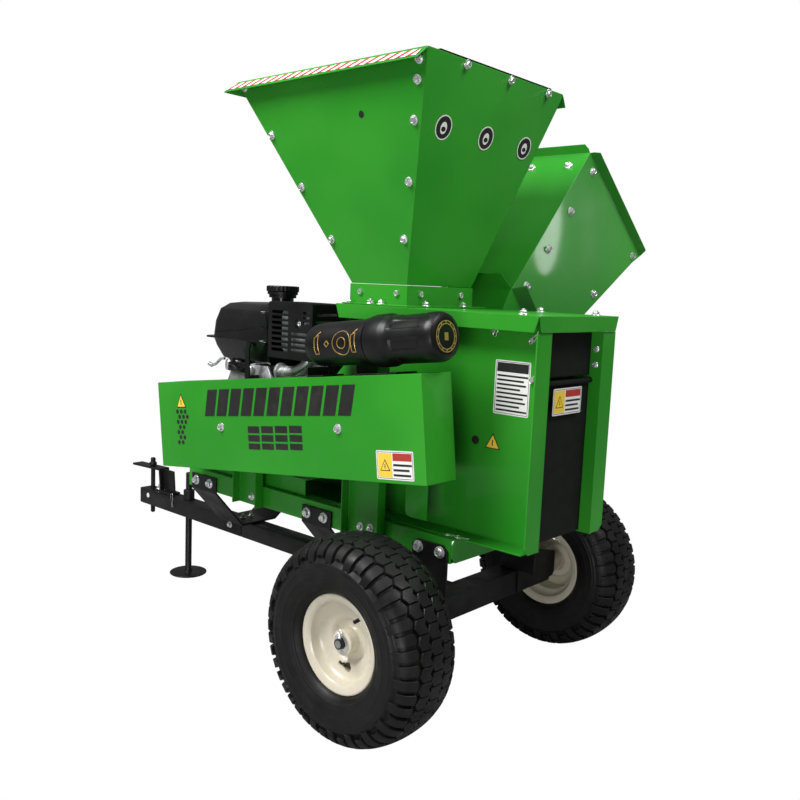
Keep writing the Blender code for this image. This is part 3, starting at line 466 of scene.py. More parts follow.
def rounded(x, y, radius, steps=5):
    """A rectangle with rounded corners, counter-clockwise."""
    points = []
    for cx, cy, start in ((x[1] - radius, y[1] - radius, 0), (x[0] + radius, y[1] - radius, 90),
                          (x[0] + radius, y[0] + radius, 180), (x[1] - radius, y[0] + radius, 270)):
        points += arc((cx, cy), radius, start, start + 90, steps)
    return points


def smooth_step(t):
    t = max(0.0, min(1.0, t))
    return t * t * (3 - 2 * t)


def spline(points, per_span=6):
    """A smooth curve through the points."""
    points = [Vector(p) for p in points]
    line = []
    for k in range(len(points) - 1):
        p0, p1, p2, p3 = (points[max(k - 1, 0)], points[k], points[k + 1],
                          points[min(k + 2, len(points) - 1)])
        for i in range(per_span):
            t = i / per_span
            line.append(0.5 * ((2 * p1) + (p2 - p0) * t + (2 * p0 - 5 * p1 + 4 * p2 - p3) * t * t
                               + (3 * p1 - p0 - 3 * p2 + p3) * t ** 3))
    line.append(points[-1])
    return line


# ---------------------------------------------------------------- wheels
RAIL_BOLT_Z = 0.327
HOLE_SWEEP = 345  # degrees, so that a round outline's last point doesn't repeat its first
PITCHES = 44
TREAD_DEPTH = 0.0064


def tyre_section():
    """Half of the tyre's outer section, from the crown to the bead, as (radius, offset) points."""
    knots = [(0.1905, 0.0), (0.19, 0.014), (0.1885, 0.028), (0.1862, 0.04), (0.1815, 0.053), (0.174, 0.0632),
             (0.164, 0.0692), (0.15, 0.0722), (0.132, 0.0726), (0.115, 0.069), (0.103, 0.0625),
             (0.095, 0.056), (0.0915, 0.05)]
    return [Vector((r, h)) for r, h in [(p.x, p.y) for p in spline([(r, h, 0) for r, h in knots], 8)]]


SECTION = tyre_section()
LENGTHS = [0.0]
for here, there in zip(SECTION, SECTION[1:]):
    LENGTHS.append(LENGTHS[-1] + (there - here).length)


def on_section(s, raise_by=0.0):
    """Point on the tyre's section at signed arc length s from the crown, lifted along its normal."""
    side = -1 if s < 0 else 1
    s = min(abs(s), LENGTHS[-1] - 1e-6)
    k = int(np.searchsorted(LENGTHS, s, side="right")) - 1
    t = (s - LENGTHS[k]) / (LENGTHS[k + 1] - LENGTHS[k])
    p = SECTION[k].lerp(SECTION[k + 1], t)
    along = (SECTION[min(k + 1, len(SECTION) - 1)] - SECTION[max(k - 1, 0)]).normalized()
    normal = Vector((along.y, -along.x))
    p = p + normal * raise_by
    return p.x, side * p.y


def tread_rows():
    """Rows of blocks: (inner zigzag edge, outer zigzag edge, phase, share of the pitch filled)."""
    return [(-0.0125, 0.0125, 0.0), (0.0165, 0.0385, 0.5), (-0.0385, -0.0165, 0.5)]


def tread_block(kit, angle0, angle1, edge0, edge1, wave, cells, place):
    """One block: a patch of the tread surface whose sides are zigzag lines, standing on the carcass."""
    nu, nv = cells
    draft = 0.0007
    rows = []
    for i in range(-2, nu + 3):
        u = min(max(i / nu, 0.0), 1.0)
        row = []
        for j in range(-2, nv + 3):
            v = min(max(j / nv, 0.0), 1.0)
            outside = max(0, -i, i - nu, -j, j - nv)
            angle = lerp(angle0, angle1, u)
            bend = wave(u)
            low, high = edge0 + bend, edge1 + bend
            s = lerp(low, high, v)
            lift = (0.0, -0.0008, -TREAD_DEPTH - 0.0012)[outside]
            grow = (0.0, 0.0006, 0.0006 + draft)[outside]
            if outside:
                angle += grow / 0.188 * (-1 if i < 0 else 1 if i > nu else 0)
                s += grow * (-1 if j < 0 else 1 if j > nv else 0)
            r, h = on_section(s, lift)
            row.append((r * math.cos(angle), r * math.sin(angle), h))
        rows.append(row)
    verts = [p for row in rows for p in row]
    wide = nv + 5
    faces = []
    for i in range(nu + 4):
        for j in range(nv + 4):
            a = i * wide + j
            faces.append((a, a + 1, a + wide + 1, a + wide))
    kit.add(verts, faces, place)


def build_tyre(side, sign):
    """Turf tyre: smooth carcass with ringed sidewalls, and separate tread blocks standing on it."""
    centre = Vector((AXLE.x, sign * TRACK_HALF, AXLE.z))
    place = Matrix.Translation(centre) @ Matrix.Rotation(math.radians(90), 4, "X")
    kit = Kit("tyre_" + side + "_tread", rubber, "wheel_" + side, 30)
    tread_end = 0.096
    half = []
    for k, s in enumerate(LENGTHS):
        base = -TREAD_DEPTH * (1.0 - smooth_step((s - tread_end + 0.012) / 0.012))
        ring = 0.0009 if abs(SECTION[k].x - 0.1265) < 0.0012 else 0.0
        ring += 0.001 if abs(SECTION[k].x - 0.104) < 0.0018 else 0.0
        ring += 0.0008 if abs(SECTION[k].x - 0.142) < 0.0012 else 0.0
        half.append(on_section(s, base + ring))
    bead = [(0.0885, 0.047), (0.08, 0.044), (0.0775, 0.04)]
    one_side = half + bead
    inner = [(0.085, 0.03), (0.1, 0.038), (0.13, 0.06), (0.165, 0.052), (0.18, 0.02)]
    outer = [(r, -h) for r, h in reversed(one_side[1:])] + one_side
    hollow = [(r, h) for r, h in inner] + [(r, -h) for r, h in reversed(inner)]
    kit.spin(outer + hollow, place, 132, None, 0, True)
    pitch = math.tau / PITCHES
    gap = 0.0016 / 0.188
    zig = 0.0038
    for low, high, phase in tread_rows():
        for i in range(PITCHES):
            a0 = (i + phase) * pitch + gap
            a1 = (i + 1 + phase) * pitch - gap
            tread_block(kit, a0, a1, low, high,
                        lambda u: zig * (1 - 4 * abs(u - 0.5)), (4, 3), place)
    for sign_s in (-1, 1):
        for i in range(PITCHES):
            reach = 0.09 if i % 2 else 0.078
            a0 = i * pitch + gap * 1.6
            a1 = (i + 1) * pitch - gap * 4.2
            edges = sorted((sign_s * 0.043, sign_s * reach))
            tread_block(kit, a0, a1, edges[0], edges[1],
                        lambda u: sign_s * 0.003 * (2 * abs(u - 0.5)), (4, 6), place)
    kit.clean(slot="tyre_rubber", replaces=("tyre_" + side,))


def build_rim(side, sign):
    """Pressed two-piece rim with a hub boss, a rolled edge and a keyhole for the valve."""
    centre = Vector((AXLE.x, sign * TRACK_HALF, AXLE.z))
    place = Matrix.Translation(centre) @ Matrix.Rotation(math.radians(-90 * sign), 4, "X")
    kit = Kit("rim_" + side + "_pressing", cream, "wheel_" + side, 40)
    front = [(0.0104, 0.04), (0.02, 0.04), (0.0228, 0.0385), (0.0232, 0.036), (0.0234, 0.018),
             (0.0262, 0.015), (0.033, 0.0138), (0.037, 0.015), (0.042, 0.0215), (0.046, 0.0236),
             (0.056, 0.024), (0.062, 0.0248), (0.068, 0.0275), (0.0722, 0.033), (0.0736, 0.04),
             (0.0745, 0.045), (0.0775, 0.0482), (0.083, 0.05), (0.088, 0.0515), (0.0902, 0.0508),
             (0.0908, 0.0492), (0.09, 0.0478), (0.087, 0.048), (0.082, 0.047), (0.0776, 0.0452)]
    back = [(0.0762, 0.04), (0.0752, 0.033), (0.07, 0.025), (0.066, 0.0215), (0.0655, 0.0)]
    outline = front + back
    mirrored = [(r, -h) for r, h in reversed(outline)]
    inner = [(0.0625, -0.0235), (0.062, 0.019), (0.056, 0.0208), (0.046, 0.0204), (0.0424, 0.0184),
             (0.0376, 0.0118), (0.033, 0.0106), (0.0262, 0.0118), (0.0236, 0.009), (0.0232, -0.038),
             (0.02, -0.04), (0.0104, -0.04)]
    profile = outline + mirrored[1:18] + inner
    kit.spin(profile, place, 96, None, 0, True)
    rim = kit.clean(slot="cream_coat", replaces=("rim_" + side,))
    punch = Kit("punch", cream, "wheel_" + side)
    for a, r, size in ((-110, 0.051, 0.0046), (-100, 0.05, 0.0054), (-89, 0.05, 0.0086)):
        spot = (r * math.cos(math.radians(a)), r * math.sin(math.radians(a)))
        punch.prism(arc(spot, size, 0, HOLE_SWEEP, 23), 0.012, 0.033, place)
    carve(rim, punch)
    stem = Kit("valve_" + side, rubber, "wheel_" + side)
    a = math.radians(52)
    foot, tip = 0.0765, 0.069
    line = [place @ Vector((r * math.cos(a), r * math.sin(a), h))
            for r, h in ((foot, 0.033), (lerp(foot, tip, 0.4), 0.043), (tip, 0.0545))]
    stem.rod(line, [0.0045, 0.0036, 0.0034], 16)
    stem.clean()


def carve(obj, tool_kit, solver="EXACT"):
    tool = tool_kit.clean()
    cut = obj.modifiers.new("cut", "BOOLEAN")
    cut.operation = "DIFFERENCE"
    cut.solver = solver
    cut.use_self = True
    cut.object = tool
    bpy.context.view_layer.update()
    depsgraph = bpy.context.evaluated_depsgraph_get()
    mesh = bpy.data.meshes.new_from_object(obj.evaluated_get(depsgraph))
    mesh.name = obj.data.name + "_cut"
    bm = bmesh.new()
    bm.from_mesh(mesh)
    bmesh.ops.triangulate(bm, faces=[f for f in bm.faces if len(f.verts) > 4])
    for edge in bm.edges:
        edge.smooth = not (len(edge.link_faces) == 2 and edge.calc_face_angle(0.0) > math.radians(32))
    bm.to_mesh(mesh)
    bm.free()
    obj.modifiers.clear()
    obj.data = mesh
    bpy.data.objects.remove(tool)
    return obj


# ---------------------------------------------------------------- fasteners
def hopper_point(wall, across, up, lift=0.0):
    """A point on a hopper wall: across runs 0 to 1 along the wall, up 0 to 1 from foot to rim."""
    low, high = HOPPER_LOW, HOPPER_TOP
    x0, x1, y0, y1 = (lerp(a, b, up) for a, b in zip(low, high))
    z = lerp(HOPPER_FOOT, HOPPER_RIM, up)
    corners = {"near": ((x0, y0), (x1, y0)), "rear": ((x1, y0), (x1, y1)),
               "far": ((x1, y1), (x0, y1)), "front": ((x0, y1), (x0, y0))}[wall]
    a, b = (Vector((*c, z)) for c in corners)
    return a.lerp(b, across) + hopper_normal(wall) * lift


def hopper_normal(wall):
    rise = HOPPER_RIM - HOPPER_FOOT
    low, high = HOPPER_LOW, HOPPER_TOP
    run = {"front": (Vector((-1, 0, 0)), low[0] - high[0]), "rear": (X, high[1] - low[1]),
           "near": (Vector((0, -1, 0)), low[2] - high[2]), "far": (Y, high[3] - low[3])}[wall]
    return (run[0] * rise - Z * run[1]).normalized()


def inset(wall, up, distance, from_end=False):
    """Share of a hopper wall's width that lies this far in from its start or end."""
    width = (hopper_point(wall, 1.0, up) - hopper_point(wall, 0.0, up)).length
    return 1 - distance / width if from_end else distance / width


def guard_point(a, b, lift=0.0):
    """A point on the belt guard's outer face, from the guard's own centre, along it and up it."""
    c, s = math.cos(GUARD_TILT), math.sin(GUARD_TILT)
    return Vector((GUARD_CENTRE.x + a * c - b * s, GUARD_FACE - lift, GUARD_CENTRE.z + a * s + b * c))


def build_fasteners():
    kit = Kit("zinc_bolts", zinc, BODY, 30)
    near = Vector((0, -1, 0))
    for up in (0.978, 0.737, 0.477, 0.216):
        kit.bolt(hopper_point("near", inset("near", up, 0.014), up), hopper_normal("near"), 0.0063,
                 turn=up * 9)
    for up in (0.965, 0.887, 0.727, 0.4715, 0.216):
        kit.bolt(hopper_point("near", inset("near", up, 0.018, True), up), hopper_normal("near"), 0.0063,
                 turn=up * 7)
    for wall in ("far", "front"):
        for up in (0.965, 0.727, 0.4715, 0.216):
            kit.bolt(hopper_point(wall, inset(wall, up, 0.018), up), hopper_normal(wall), 0.0063, turn=up * 5)
            if wall == "far":
                kit.bolt(hopper_point(wall, inset(wall, up, 0.016, True), up), hopper_normal(wall), 0.0063)
    for across in (0.255, 0.572, 0.874):
        kit.bolt(hopper_point("rear", across, 0.99), hopper_normal("rear"), 0.006, turn=across * 4)
    for a, b in ((-0.171, -0.0033), (0.193, -0.0014)):
        kit.bolt(guard_point(a, b), near, 0.0068, turn=a)
    return kit


def build_frame_bolts(kit):
    near = Vector((0, -1, 0))
    web, strap = -0.1652, -0.1705
    for side in (1, -1):
        def at(x, y, z):
            return Vector((x, y if side > 0 else -0.028 - y, z))
        out = near if side > 0 else Y
        for x, z in ((-0.232, RAIL_BOLT_Z), (-0.178, RAIL_BOLT_Z), (0.171, RAIL_BOLT_Z),
                     (0.224, RAIL_BOLT_Z), (0.489, RAIL_BOLT_Z), (0.542, RAIL_BOLT_Z)):
            kit.bolt(at(x, strap, z), out, 0.0082, turn=x * 9)
        for x, z in ((-0.019, 0.326), (0.008, 0.326), (0.331, 0.331), (0.359, 0.334)):
            if side > 0:
                kit.bolt(at(x, web - 0.0033, z), out, 0.0062, 0.002, turn=x * 9)
    for x, z in ((-0.246, 0.189),):
        kit.bolt((x, TONGUE_NEAR, z), near, 0.006, turn=0.2)
    for x, y in ((-0.205, -0.045), (-0.205, -0.02), (0.196, -0.045), (0.196, -0.02)):
        kit.bolt((x, y, TONGUE_TOP + 0.0052), Z, 0.006, 0.004)


def build_housing_bolts(kit):
    near = Vector((0, -1, 0))
    collar_y = HOPPER_LOW[2]
    for x in (0.262, 0.363):
        kit.bolt((x, collar_y, 0.8075), near, 0.0065, turn=x * 8)
        kit.bolt((x, HOPPER_LOW[3], 0.8075), Y, 0.0065, turn=x * 8)
    for y in (-0.08, 0.05):
        kit.bolt((HOPPER_LOW[1], y, 0.8075), X, 0.0065, turn=y * 9)
    top = TOP_PLATE + 0.0025
    for x, y in ((0.24, -0.131), (0.3, -0.131), (0.399, -0.075), (0.399, 0.047), (0.33, -0.131),
                 (0.664, -0.12), (0.69, 0.092), (0.56, 0.098)):
        kit.bolt((x, y, top if 0.24 < x < 0.41 else TOP_PLATE), Z, 0.0066, 0.003, turn=x * 11 + y)
    far_wall = FAR_INNER
    for z in (0.718, 0.688):
        kit.bolt((0.704, far_wall - 0.0002, z), near, 0.0045, turn=z)
        kit.bolt((0.704, NEAR_OUTER, z), near, 0.0045, turn=z)


def build_chute_bolts(kit):
    for y, z in ((0.461, 1.111), (0.373, 1.011), (0.287, 0.919), (0.207, 0.834), (0.694, 0.925),
                 (0.505, 0.823)):
        kit.bolt((CHUTE_FAR, y, z), X, 0.0072, turn=y * 20)
        kit.bolt((CHUTE_NEAR, y, z), -X, 0.0072, turn=y * 20)
    slope = Vector((0.0, -0.7428, 0.6695))
    for x in (0.306, 0.41):
        kit.bolt(Vector((x, 0.418, 1.1215)) + slope * 0.0005, slope, 0.0068, turn=x * 9)


# ---------------------------------------------------------------- plates, stickers and printed marks
def plate_frame(origin, along, up):
    """A placing whose X runs along a surface, Y up it and Z out of it."""
    along, up = Vector(along).normalized(), Vector(up).normalized()
    out = along.cross(up)
    return Matrix.Translation(Vector(origin)) @ Matrix((along, up, out)).transposed().to_4x4()


def guard_frame(a, b):
    c, s = math.cos(GUARD_TILT), math.sin(GUARD_TILT)
    return plate_frame(guard_point(a, b), (c, 0, s), (-s, 0, c))


def slanted(x0, x1, y0, y1, lean=0.0):
    return [(x0, y0), (x1, y0), (x1 + lean, y1), (x0 + lean, y1)]


PRINT = 0.0003


def build_guard_marks():
    """Slanted bars and rows of blocks on the guard's face, and a vent drawn as dark dots: painted shade of
    small holes.
    """
    kit = Kit("guard_bars", ink)
    left, right, low, high = -0.229, 0.2455, 0.02, 0.079
    count, gap, lean = 11, 0.0075, 0.016
    pitch = (right - lean - left + gap) / count
    for i in range(count):
        place = guard_frame(left + pitch * i, lerp(low, low + 0.004, i / count))
        kit.prism(slanted(0.0, pitch - gap, 0.0, high - low, lean), 0.0, PRINT, place)
    left, right, low, high = -0.08, 0.096, -0.049, 0.0
    pitch = (right - left) / 4
    for i in range(4):
        place = guard_frame(left + pitch * i, lerp(low, low + 0.004, i / 4))
        wide, tall = pitch - 0.006, high - low
        kit.prism(slanted(0.0, wide, 0.0, tall * 0.26), 0.0, PRINT, place)
        kit.prism(slanted(0.0, wide, tall * 0.34, tall * 0.62), 0.0, PRINT, place)
        kit.prism(slanted(0.0, wide, tall * 0.7, tall), 0.0, PRINT, place)
    kit.clean()
    # The vent is flat dark dots printed on the face: painted shade standing in for the inside of small holes.
    dots = Kit("guard_vent_painted_shade", ink)
    for row in range(7):
        for col in range(2 + (row < 3)):
            a = -0.3335 + 0.015 * (col + (row % 2) * 0.5)
            dots.prism(arc((0, 0), 0.0052, 0, 336, 14), 0.0, PRINT, guard_frame(a, 0.03 - 0.0118 * row))
    dots.clean()


def triangle_sign(kit, place, size, frame_mark=0, fill_mark=1):
    """A plain triangle with a dark border."""
    def corners(r):
        return [(r * math.cos(math.radians(a)), r * math.sin(math.radians(a))) for a in (-30, 90, 210)]
    kit.prism(corners(size), 0.0, PRINT, place, frame_mark)
    kit.prism(corners(size * 0.8), PRINT, PRINT * 2, place, fill_mark)
    kit.prism(slanted(-size * 0.06, size * 0.06, -size * 0.2, size * 0.34), PRINT * 2, PRINT * 2.5,
              place, frame_mark)


def info_plate(kit, place, wide, tall, rows, head=0.22, picture=0.0):
    """A white sticker: dark border, dark heading band, plain lines, and an optional yellow panel."""
    w, h = wide / 2, tall / 2
    kit.prism(rounded((-w, w), (-h, h), 0.003), 0.0, PRINT, place, 2)
    edge = 0.0022
    rim = 0.0009
    wide_run, tall_run = (-w + edge, w - edge), (-h + edge, h - edge)
    for x, y in ((wide_run, (h - edge - rim, h - edge)), (wide_run, (-h + edge, -h + edge + rim)),
                 ((-w + edge, -w + edge + rim), tall_run), ((w - edge - rim, w - edge), tall_run)):
        kit.prism(slanted(*x, *y), PRINT, PRINT * 1.6, place, 0)
    top = h - edge * 2
    left = -w + edge * 2
    if picture:
        side = picture
        kit.prism(slanted(left, left + side, -h + edge * 2, top), PRINT, PRINT * 1.6, place, 1)
        mid = ((left + left + side) / 2, (top - h + edge * 2) / 2)
        spot = place @ Matrix.Translation((mid[0], mid[1] - side * 0.1, PRINT))
        triangle_sign(kit, spot, side * 0.42, 0, 1)
        left += side + 0.002
    band = head * tall
    kit.prism(slanted(left, w - edge * 2, top - band, top), PRINT, PRINT * 1.6, place, 3 if picture else 0)
    start = top - band - 0.003
    step = (start + h - edge * 2) / rows
    for i in range(rows):
        y = start - step * (i + 0.5)
        cut = (0.0, 0.12, 0.05, 0.22)[i % 4] * (w - left)
        bar = slanted(left + 0.001, w - edge * 2 - cut, y - step * 0.22, y + step * 0.22)
        kit.prism(bar, PRINT, PRINT * 1.6, place, 0)


def build_stickers():
    inks = [ink, yellow_print, white_print, red_print]
    kit = Kit("stickers", inks)
    place = guard_frame(0.3347, -0.0652)
    info_plate(kit, place, 0.09, 0.053, 3, 0.26, 0.034)
    triangle_sign(kit, guard_frame(-0.3168, 0.05), 0.0215)
    info_plate(kit, plate_frame((0.6415, NEAR_OUTER, 0.6465), X, Z), 0.077, 0.1, 9, 0.17)
    triangle_sign(kit, plate_frame((0.606, NEAR_OUTER, 0.539), X, Z), 0.02)
    kit.prism(arc((0, 0), 0.0086, 0, HOLE_SWEEP, 16), 0.0, PRINT,
              plate_frame((0.566, NEAR_OUTER, 0.54), X, Z), 0)
    kit.clean()
    back = Kit("flap_sticker", inks, "flap")
    flap_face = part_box("discharge_flap")[1].x
    info_plate(back, plate_frame((flap_face, -0.012, 0.6235), Y, Z), 0.1, 0.05, 3, 0.26, 0.036)
    back.clean()
    discs = Kit("hopper_discs", inks)
    for across in (0.1665, 0.516, 0.87):
        normal = hopper_normal("rear")
        up = (Z - normal * normal.z).normalized()
        place = plate_frame(hopper_point("rear", across, 0.717, 0.0002), Y, up)
        circle = [(math.cos(math.tau * i / 32), math.sin(math.tau * i / 32)) for i in range(32)]
        discs.prism([(0.023 * a, 0.023 * b) for a, b in circle], 0.0, PRINT, place, 2)
        discs.prism([(0.0205 * a, 0.0205 * b) for a, b in circle], PRINT, PRINT * 1.6, place, 0)
        discs.prism([(0.009 * a, 0.0112 * b - 0.001) for a, b in circle], PRINT * 1.6, PRINT * 2.2, place, 2)
        discs.prism([(0.0062 * a, 0.0046 * b - 0.003) for a, b in circle], PRINT * 2.2, PRINT * 2.8, place, 0)
    discs.clean()


def build_hopper_tape():
    """Red and white slanted tape along the near lip, and a dark disc below it: painted shade of a small hole
    in the wall.
    """
    kit = Kit("hopper_tape", [white_print, red_print])
    x0, x1, y0, _ = HOPPER_TOP
    drop = 0.0198
    out = Vector((0.0, -0.7071, 0.7071))
    down = Vector((0.0, -0.7071, -0.7071))
    corner = Vector((x0, y0, HOPPER_RIM)) + out * 0.003
    wide = 0.023
    step = 0.0125
    place = Matrix.Translation(corner) @ Matrix((X, -down, out)).transposed().to_4x4()
    count = int((x1 - x0 + 0.004) / step)
    lean = 0.018
    for i in range(-2, count):
        a, b = i * step, (i + 1) * step
        low_a, low_b = max(a, -drop * 0.9), max(b, -drop * 0.9)
        top_a, top_b = max(a + lean, -0.002), max(b + lean, -0.002)
        end = x1 - x0 - 0.01
        low_b, top_b = min(low_b, end), min(top_b, end)
        top_a, low_a = min(top_a, end), min(low_a, end)
        if top_b - top_a < 1e-5 and low_b - low_a < 1e-5:
            continue
        if top_b - top_a < 1e-5:
            outline = [(low_a, -wide), (low_b, -wide), (top_b, -0.0046)]
        elif low_b - low_a < 1e-5:
            outline = [(low_a, -wide), (top_b, -0.0046), (top_a, -0.0046)]
        else:
            outline = [(low_a, -wide), (low_b, -wide), (top_b, -0.0046), (top_a, -0.0046)]
        kit.prism(outline, 0.0, PRINT, place, i % 2)
    kit.clean()
    # A flat dark disc on the wall: painted shade where a small hole is, not a cut hole.
    painted_hole_shade = Kit("hopper_hole_painted_shade", ink)
    up = (1.141 - HOPPER_FOOT) / (HOPPER_RIM - HOPPER_FOOT)
    normal = hopper_normal("near")
    spot = hopper_point("near", 0.655, up, 0.0001)
    painted_hole_shade.prism(arc((0, 0), 0.0068, 0, HOLE_SWEEP, 16), 0.0, PRINT,
               Matrix.Translation(spot) @ frame_of(normal))
    painted_hole_shade.clean()


# ---------------------------------------------------------------- hitch, pins and small steel parts
def hairpin(kit, eye, along, across, size=0.028, wire=0.0011):
    """A spring clip: an eye and two legs lying along a direction."""
    eye, along, across = Vector(eye), Vector(along).normalized(), Vector(across).normalized()
    r = size * 0.16
    ring = [eye + r * (math.cos(math.radians(a)) * -along + math.sin(math.radians(a)) * across)
            for a in range(-140, 141, 20)]
    start, end = ring[0], ring[-1]
    line = [start + along * size * k - across * (0.0012 * math.sin(k * 7)) for k in (1.0, 0.7, 0.45, 0.2)]
    line += ring
    line += [end + along * size * k + across * (0.002 * math.sin(k * 7)) for k in (0.2, 0.45, 0.7, 1.0)]
    kit.rod(line, wire, 8)


def build_pins():
    kit = Kit("clevis_and_hair_pins", zinc)
    for x, z in ((0.504, 0.742), (0.596, 0.75)):
        place = Matrix.Translation((x, NEAR_OUTER - 0.001, z)) @ frame_of((0, -1, 0))
        kit.spin([(0.0, 0.0), (0.0052, 0.0), (0.0052, 0.004), (0.0046, 0.0048), (0.0, 0.0048)], place, 16)
        hairpin(kit, (x + 0.004, NEAR_OUTER - 0.004, z - 0.008), (0.3, 0, 1), (1, 0, -0.3), 0.024)
    for point, out in (((0.27, 0.15, 0.826), (0, -0.7, 0.7)), ((0.456, 0.206, 0.786), (1, 0, 0)),
                       ((0.686, NEAR_OUTER, 0.666), (0, -1, 0)), ((0.682, NEAR_OUTER, 0.737), (0, -1, 0))):
        out = Vector(out).normalized()
        place = Matrix.Translation(Vector(point)) @ frame_of(out)
        kit.spin([(0.0, 0.0), (0.0046, 0.0), (0.0046, 0.006), (0.004, 0.0068), (0.0, 0.0068)], place, 16)
        side = out.orthogonal().normalized()
        hairpin(kit, Vector(point) + out * 0.0045 + side * 0.004, -side, out.cross(side), 0.022)
    for x in (0.542, 0.566):
        hairpin(kit, (x, -0.15, 0.3575), (1, 0.3, 0), (-0.3, 1, 0), 0.022)
    kit.clean()


def build_wheel_ends():
    """Spindle ends with washers and bright split pins, which stay with the axle."""
    kit = Kit("split_pins", zinc)
    for side in (-1, 1):
        y = side * 0.379
        eye = Vector((AXLE.x, y, AXLE.z + 0.018))
        loop = [eye + Vector((0.0042 * math.cos(math.radians(a)), 0,
                              0.0045 * math.sin(math.radians(a)) + 0.003))
                for a in range(-70, 251, 32)]
        kit.rod([eye + Vector((0.0013, 0, -0.036))] + loop + [eye + Vector((-0.0013, 0, -0.034))], 0.0013, 8)
        washer = Matrix.Translation((AXLE.x, side * 0.3744, AXLE.z)) @ frame_of((0, side, 0))
        kit.spin([(0.0104, 0.0), (0.017, 0.0), (0.0172, 0.0012), (0.0104, 0.0012)], washer, 32, None, 0, True)
    kit.clean()
    dimple = Kit("spindle_centres", steel)
    for side in (-1, 1):
        place = Matrix.Translation((AXLE.x, side * 0.3835, AXLE.z)) @ frame_of((0, side, 0))
        dimple.spin([(0.0, 0.0001), (0.0028, 0.0003), (0.0046, 0.0007), (0.006, 0.0009), (0.007, 0.0004),
                     (0.0074, -0.0006), (0.0, -0.0008)], place, 24)
    dimple.clean()


def build_small_bracket():
    """Bracket behind the rear upright, pan between the rails, and the plate that backs the guard."""
    kit = Kit("rail_bracket", green)
    outline = [(0.45, 0.45), (0.45, 0.392), *arc((0.462, 0.391), 0.012, 180, 270, 4),
               (0.505, 0.379), (0.505, 0.45)]
    place = plate_frame((0, -0.1695, 0), X, Z)
    kit.prism(outline, -0.0025, 0.0, place)
    kit.block((0.45, 0.505), (-0.1695, -0.113), (0.4476, 0.45))
    kit.clean(0.0006, 2)
    pan = Kit("rail_pan", green)
    pan.block((-0.15, 0.15), (-0.1298, 0.1018), (0.3085, 0.311))
    pan.block((-0.15, 0.15), (-0.1298, -0.1273), (0.311, 0.33))
    pan.block((-0.15, 0.15), (0.0993, 0.1018), (0.311, 0.33))
    pan.clean(0.0006, 2)
    flare = Kit("guard_backplate", green)
    flare.prism([(0.243, 0.59), (0.39, 0.602), (0.39, 0.674), (0.27, 0.662), (0.243, 0.635)],
                -0.0025, 0.0, plate_frame((0, -0.1657, 0), X, Z))
    flare.clean(0.0005, 2)


def build_hitch_details():
    kit = Kit("hitch_fasteners", zinc)
    for x in (-0.604, -0.58):
        kit.bolt((x, -0.0325, TONGUE_TOP + 0.0045), Z, 0.007, 0.006, turn=x * 5)
    kit.clean()
    # Flat printed discs stand in for the tongue's two holes: the dark one is painted shade inside a hole, the
    # white one a painted white spot over the other hole.
    dark = Kit("tongue_hole_painted_discs", [white_print, ink])
    for mark, x in enumerate((-0.629, -0.55)):
        dark.prism(arc((0, 0), 0.0068, 0, HOLE_SWEEP, 20), 0.0, PRINT,
                   plate_frame((x, TONGUE_NEAR, 0.193), X, Z),
                   mark)
    dark.clean()
    clip = Kit("hanging_clip", steel)
    hairpin(clip, (-0.508, TONGUE_NEAR - 0.002, 0.216), (0.1, 0, -1), (1, 0, 0.1), 0.03, 0.001)
    clip.clean()


# ---------------------------------------------------------------- engine covers and tool canister
def build_silencer():
    """Slotted black heat guard round a grey silencer, with its bright elbow."""
    x0, x1, y0, y1, z0, z1 = 0.0165, 0.16, -0.1605, -0.062, 0.653, 0.777
    wall = 0.0016
    shell = Kit("silencer_guard", grain_black, BODY, 30)
    shell.prism(rounded((x0, x1), (z0, z1), 0.005, 3), 0.0, -(y1 - y0), plate_frame((0, y0, 0), X, Z))
    guard = shell.clean(slot="black_plastic", replaces=("muffler",))
    punch = Kit("punch", grain_black)
    punch.block((x0 + wall, x1 - wall), (y0 + wall, y1 + 0.02), (z0 + wall, z1 - wall))
    carve(guard, punch)
    punch = Kit("punch", grain_black)
    front = plate_frame((0, y0 - 0.004, 0), X, Z)
    depth = -0.01

    def slot_at(a, b, z, tall=0.0034):
        punch.prism(rounded((a, b), (z - tall, z + tall), tall * 0.8, 3), 0.0, depth, front)
    for i in range(8):
        slot_at(0.028, 0.083, 0.755 - 0.0119 * i)
    for i in range(4):
        slot_at(0.092, 0.148, 0.709 - 0.0119 * i)
    for i in range(3):
        slot_at(0.13, 0.15, 0.756 - 0.011 * i, 0.0028)
    punch.prism(arc((0.114, 0.732), 0.0105, 0, HOLE_SWEEP, 20), 0.0, depth, front)
    for i in range(11):
        x = 0.03 + 0.0115 * i
        punch.prism(rounded((x, x + 0.0052), (-0.148, -0.085), 0.002, 2), z1 - 0.006, z1 + 0.006)
    for i in range(6):
        z = 0.67 + 0.016 * i
        punch.block((x1 - 0.006, x1 + 0.006), (-0.148, -0.085), (z, z + 0.006))
    carve(guard, punch)
    inner = Kit("silencer_body", alloy, BODY, 35)
    inner.prism(rounded((0.05, 0.15), (0.664, 0.766), 0.022, 5), 0.0, -0.074,
                plate_frame((0, -0.15, 0), X, Z))
    inner.bolt((0.114, -0.15, 0.732), (0, -1, 0), 0.0062)
    inner.clean(0.003, 3)
    pipe = Kit("exhaust_elbow", zinc, BODY, 40)
    bend = [(0.07, -0.076, 0.672), (0.064, -0.083, 0.64), (0.038, -0.093, 0.618), (-0.008, -0.0985, 0.614)]
    pipe.rod(spline(bend, 12), 0.014, 28)
    pipe.spin([(0.0, 0.0), (0.02, 0.0), (0.02, 0.006), (0.0, 0.006)],
              Matrix.Translation((-0.006, -0.0985, 0.614)) @ frame_of((-1, 0, 0)), 24)
    pipe.clean()


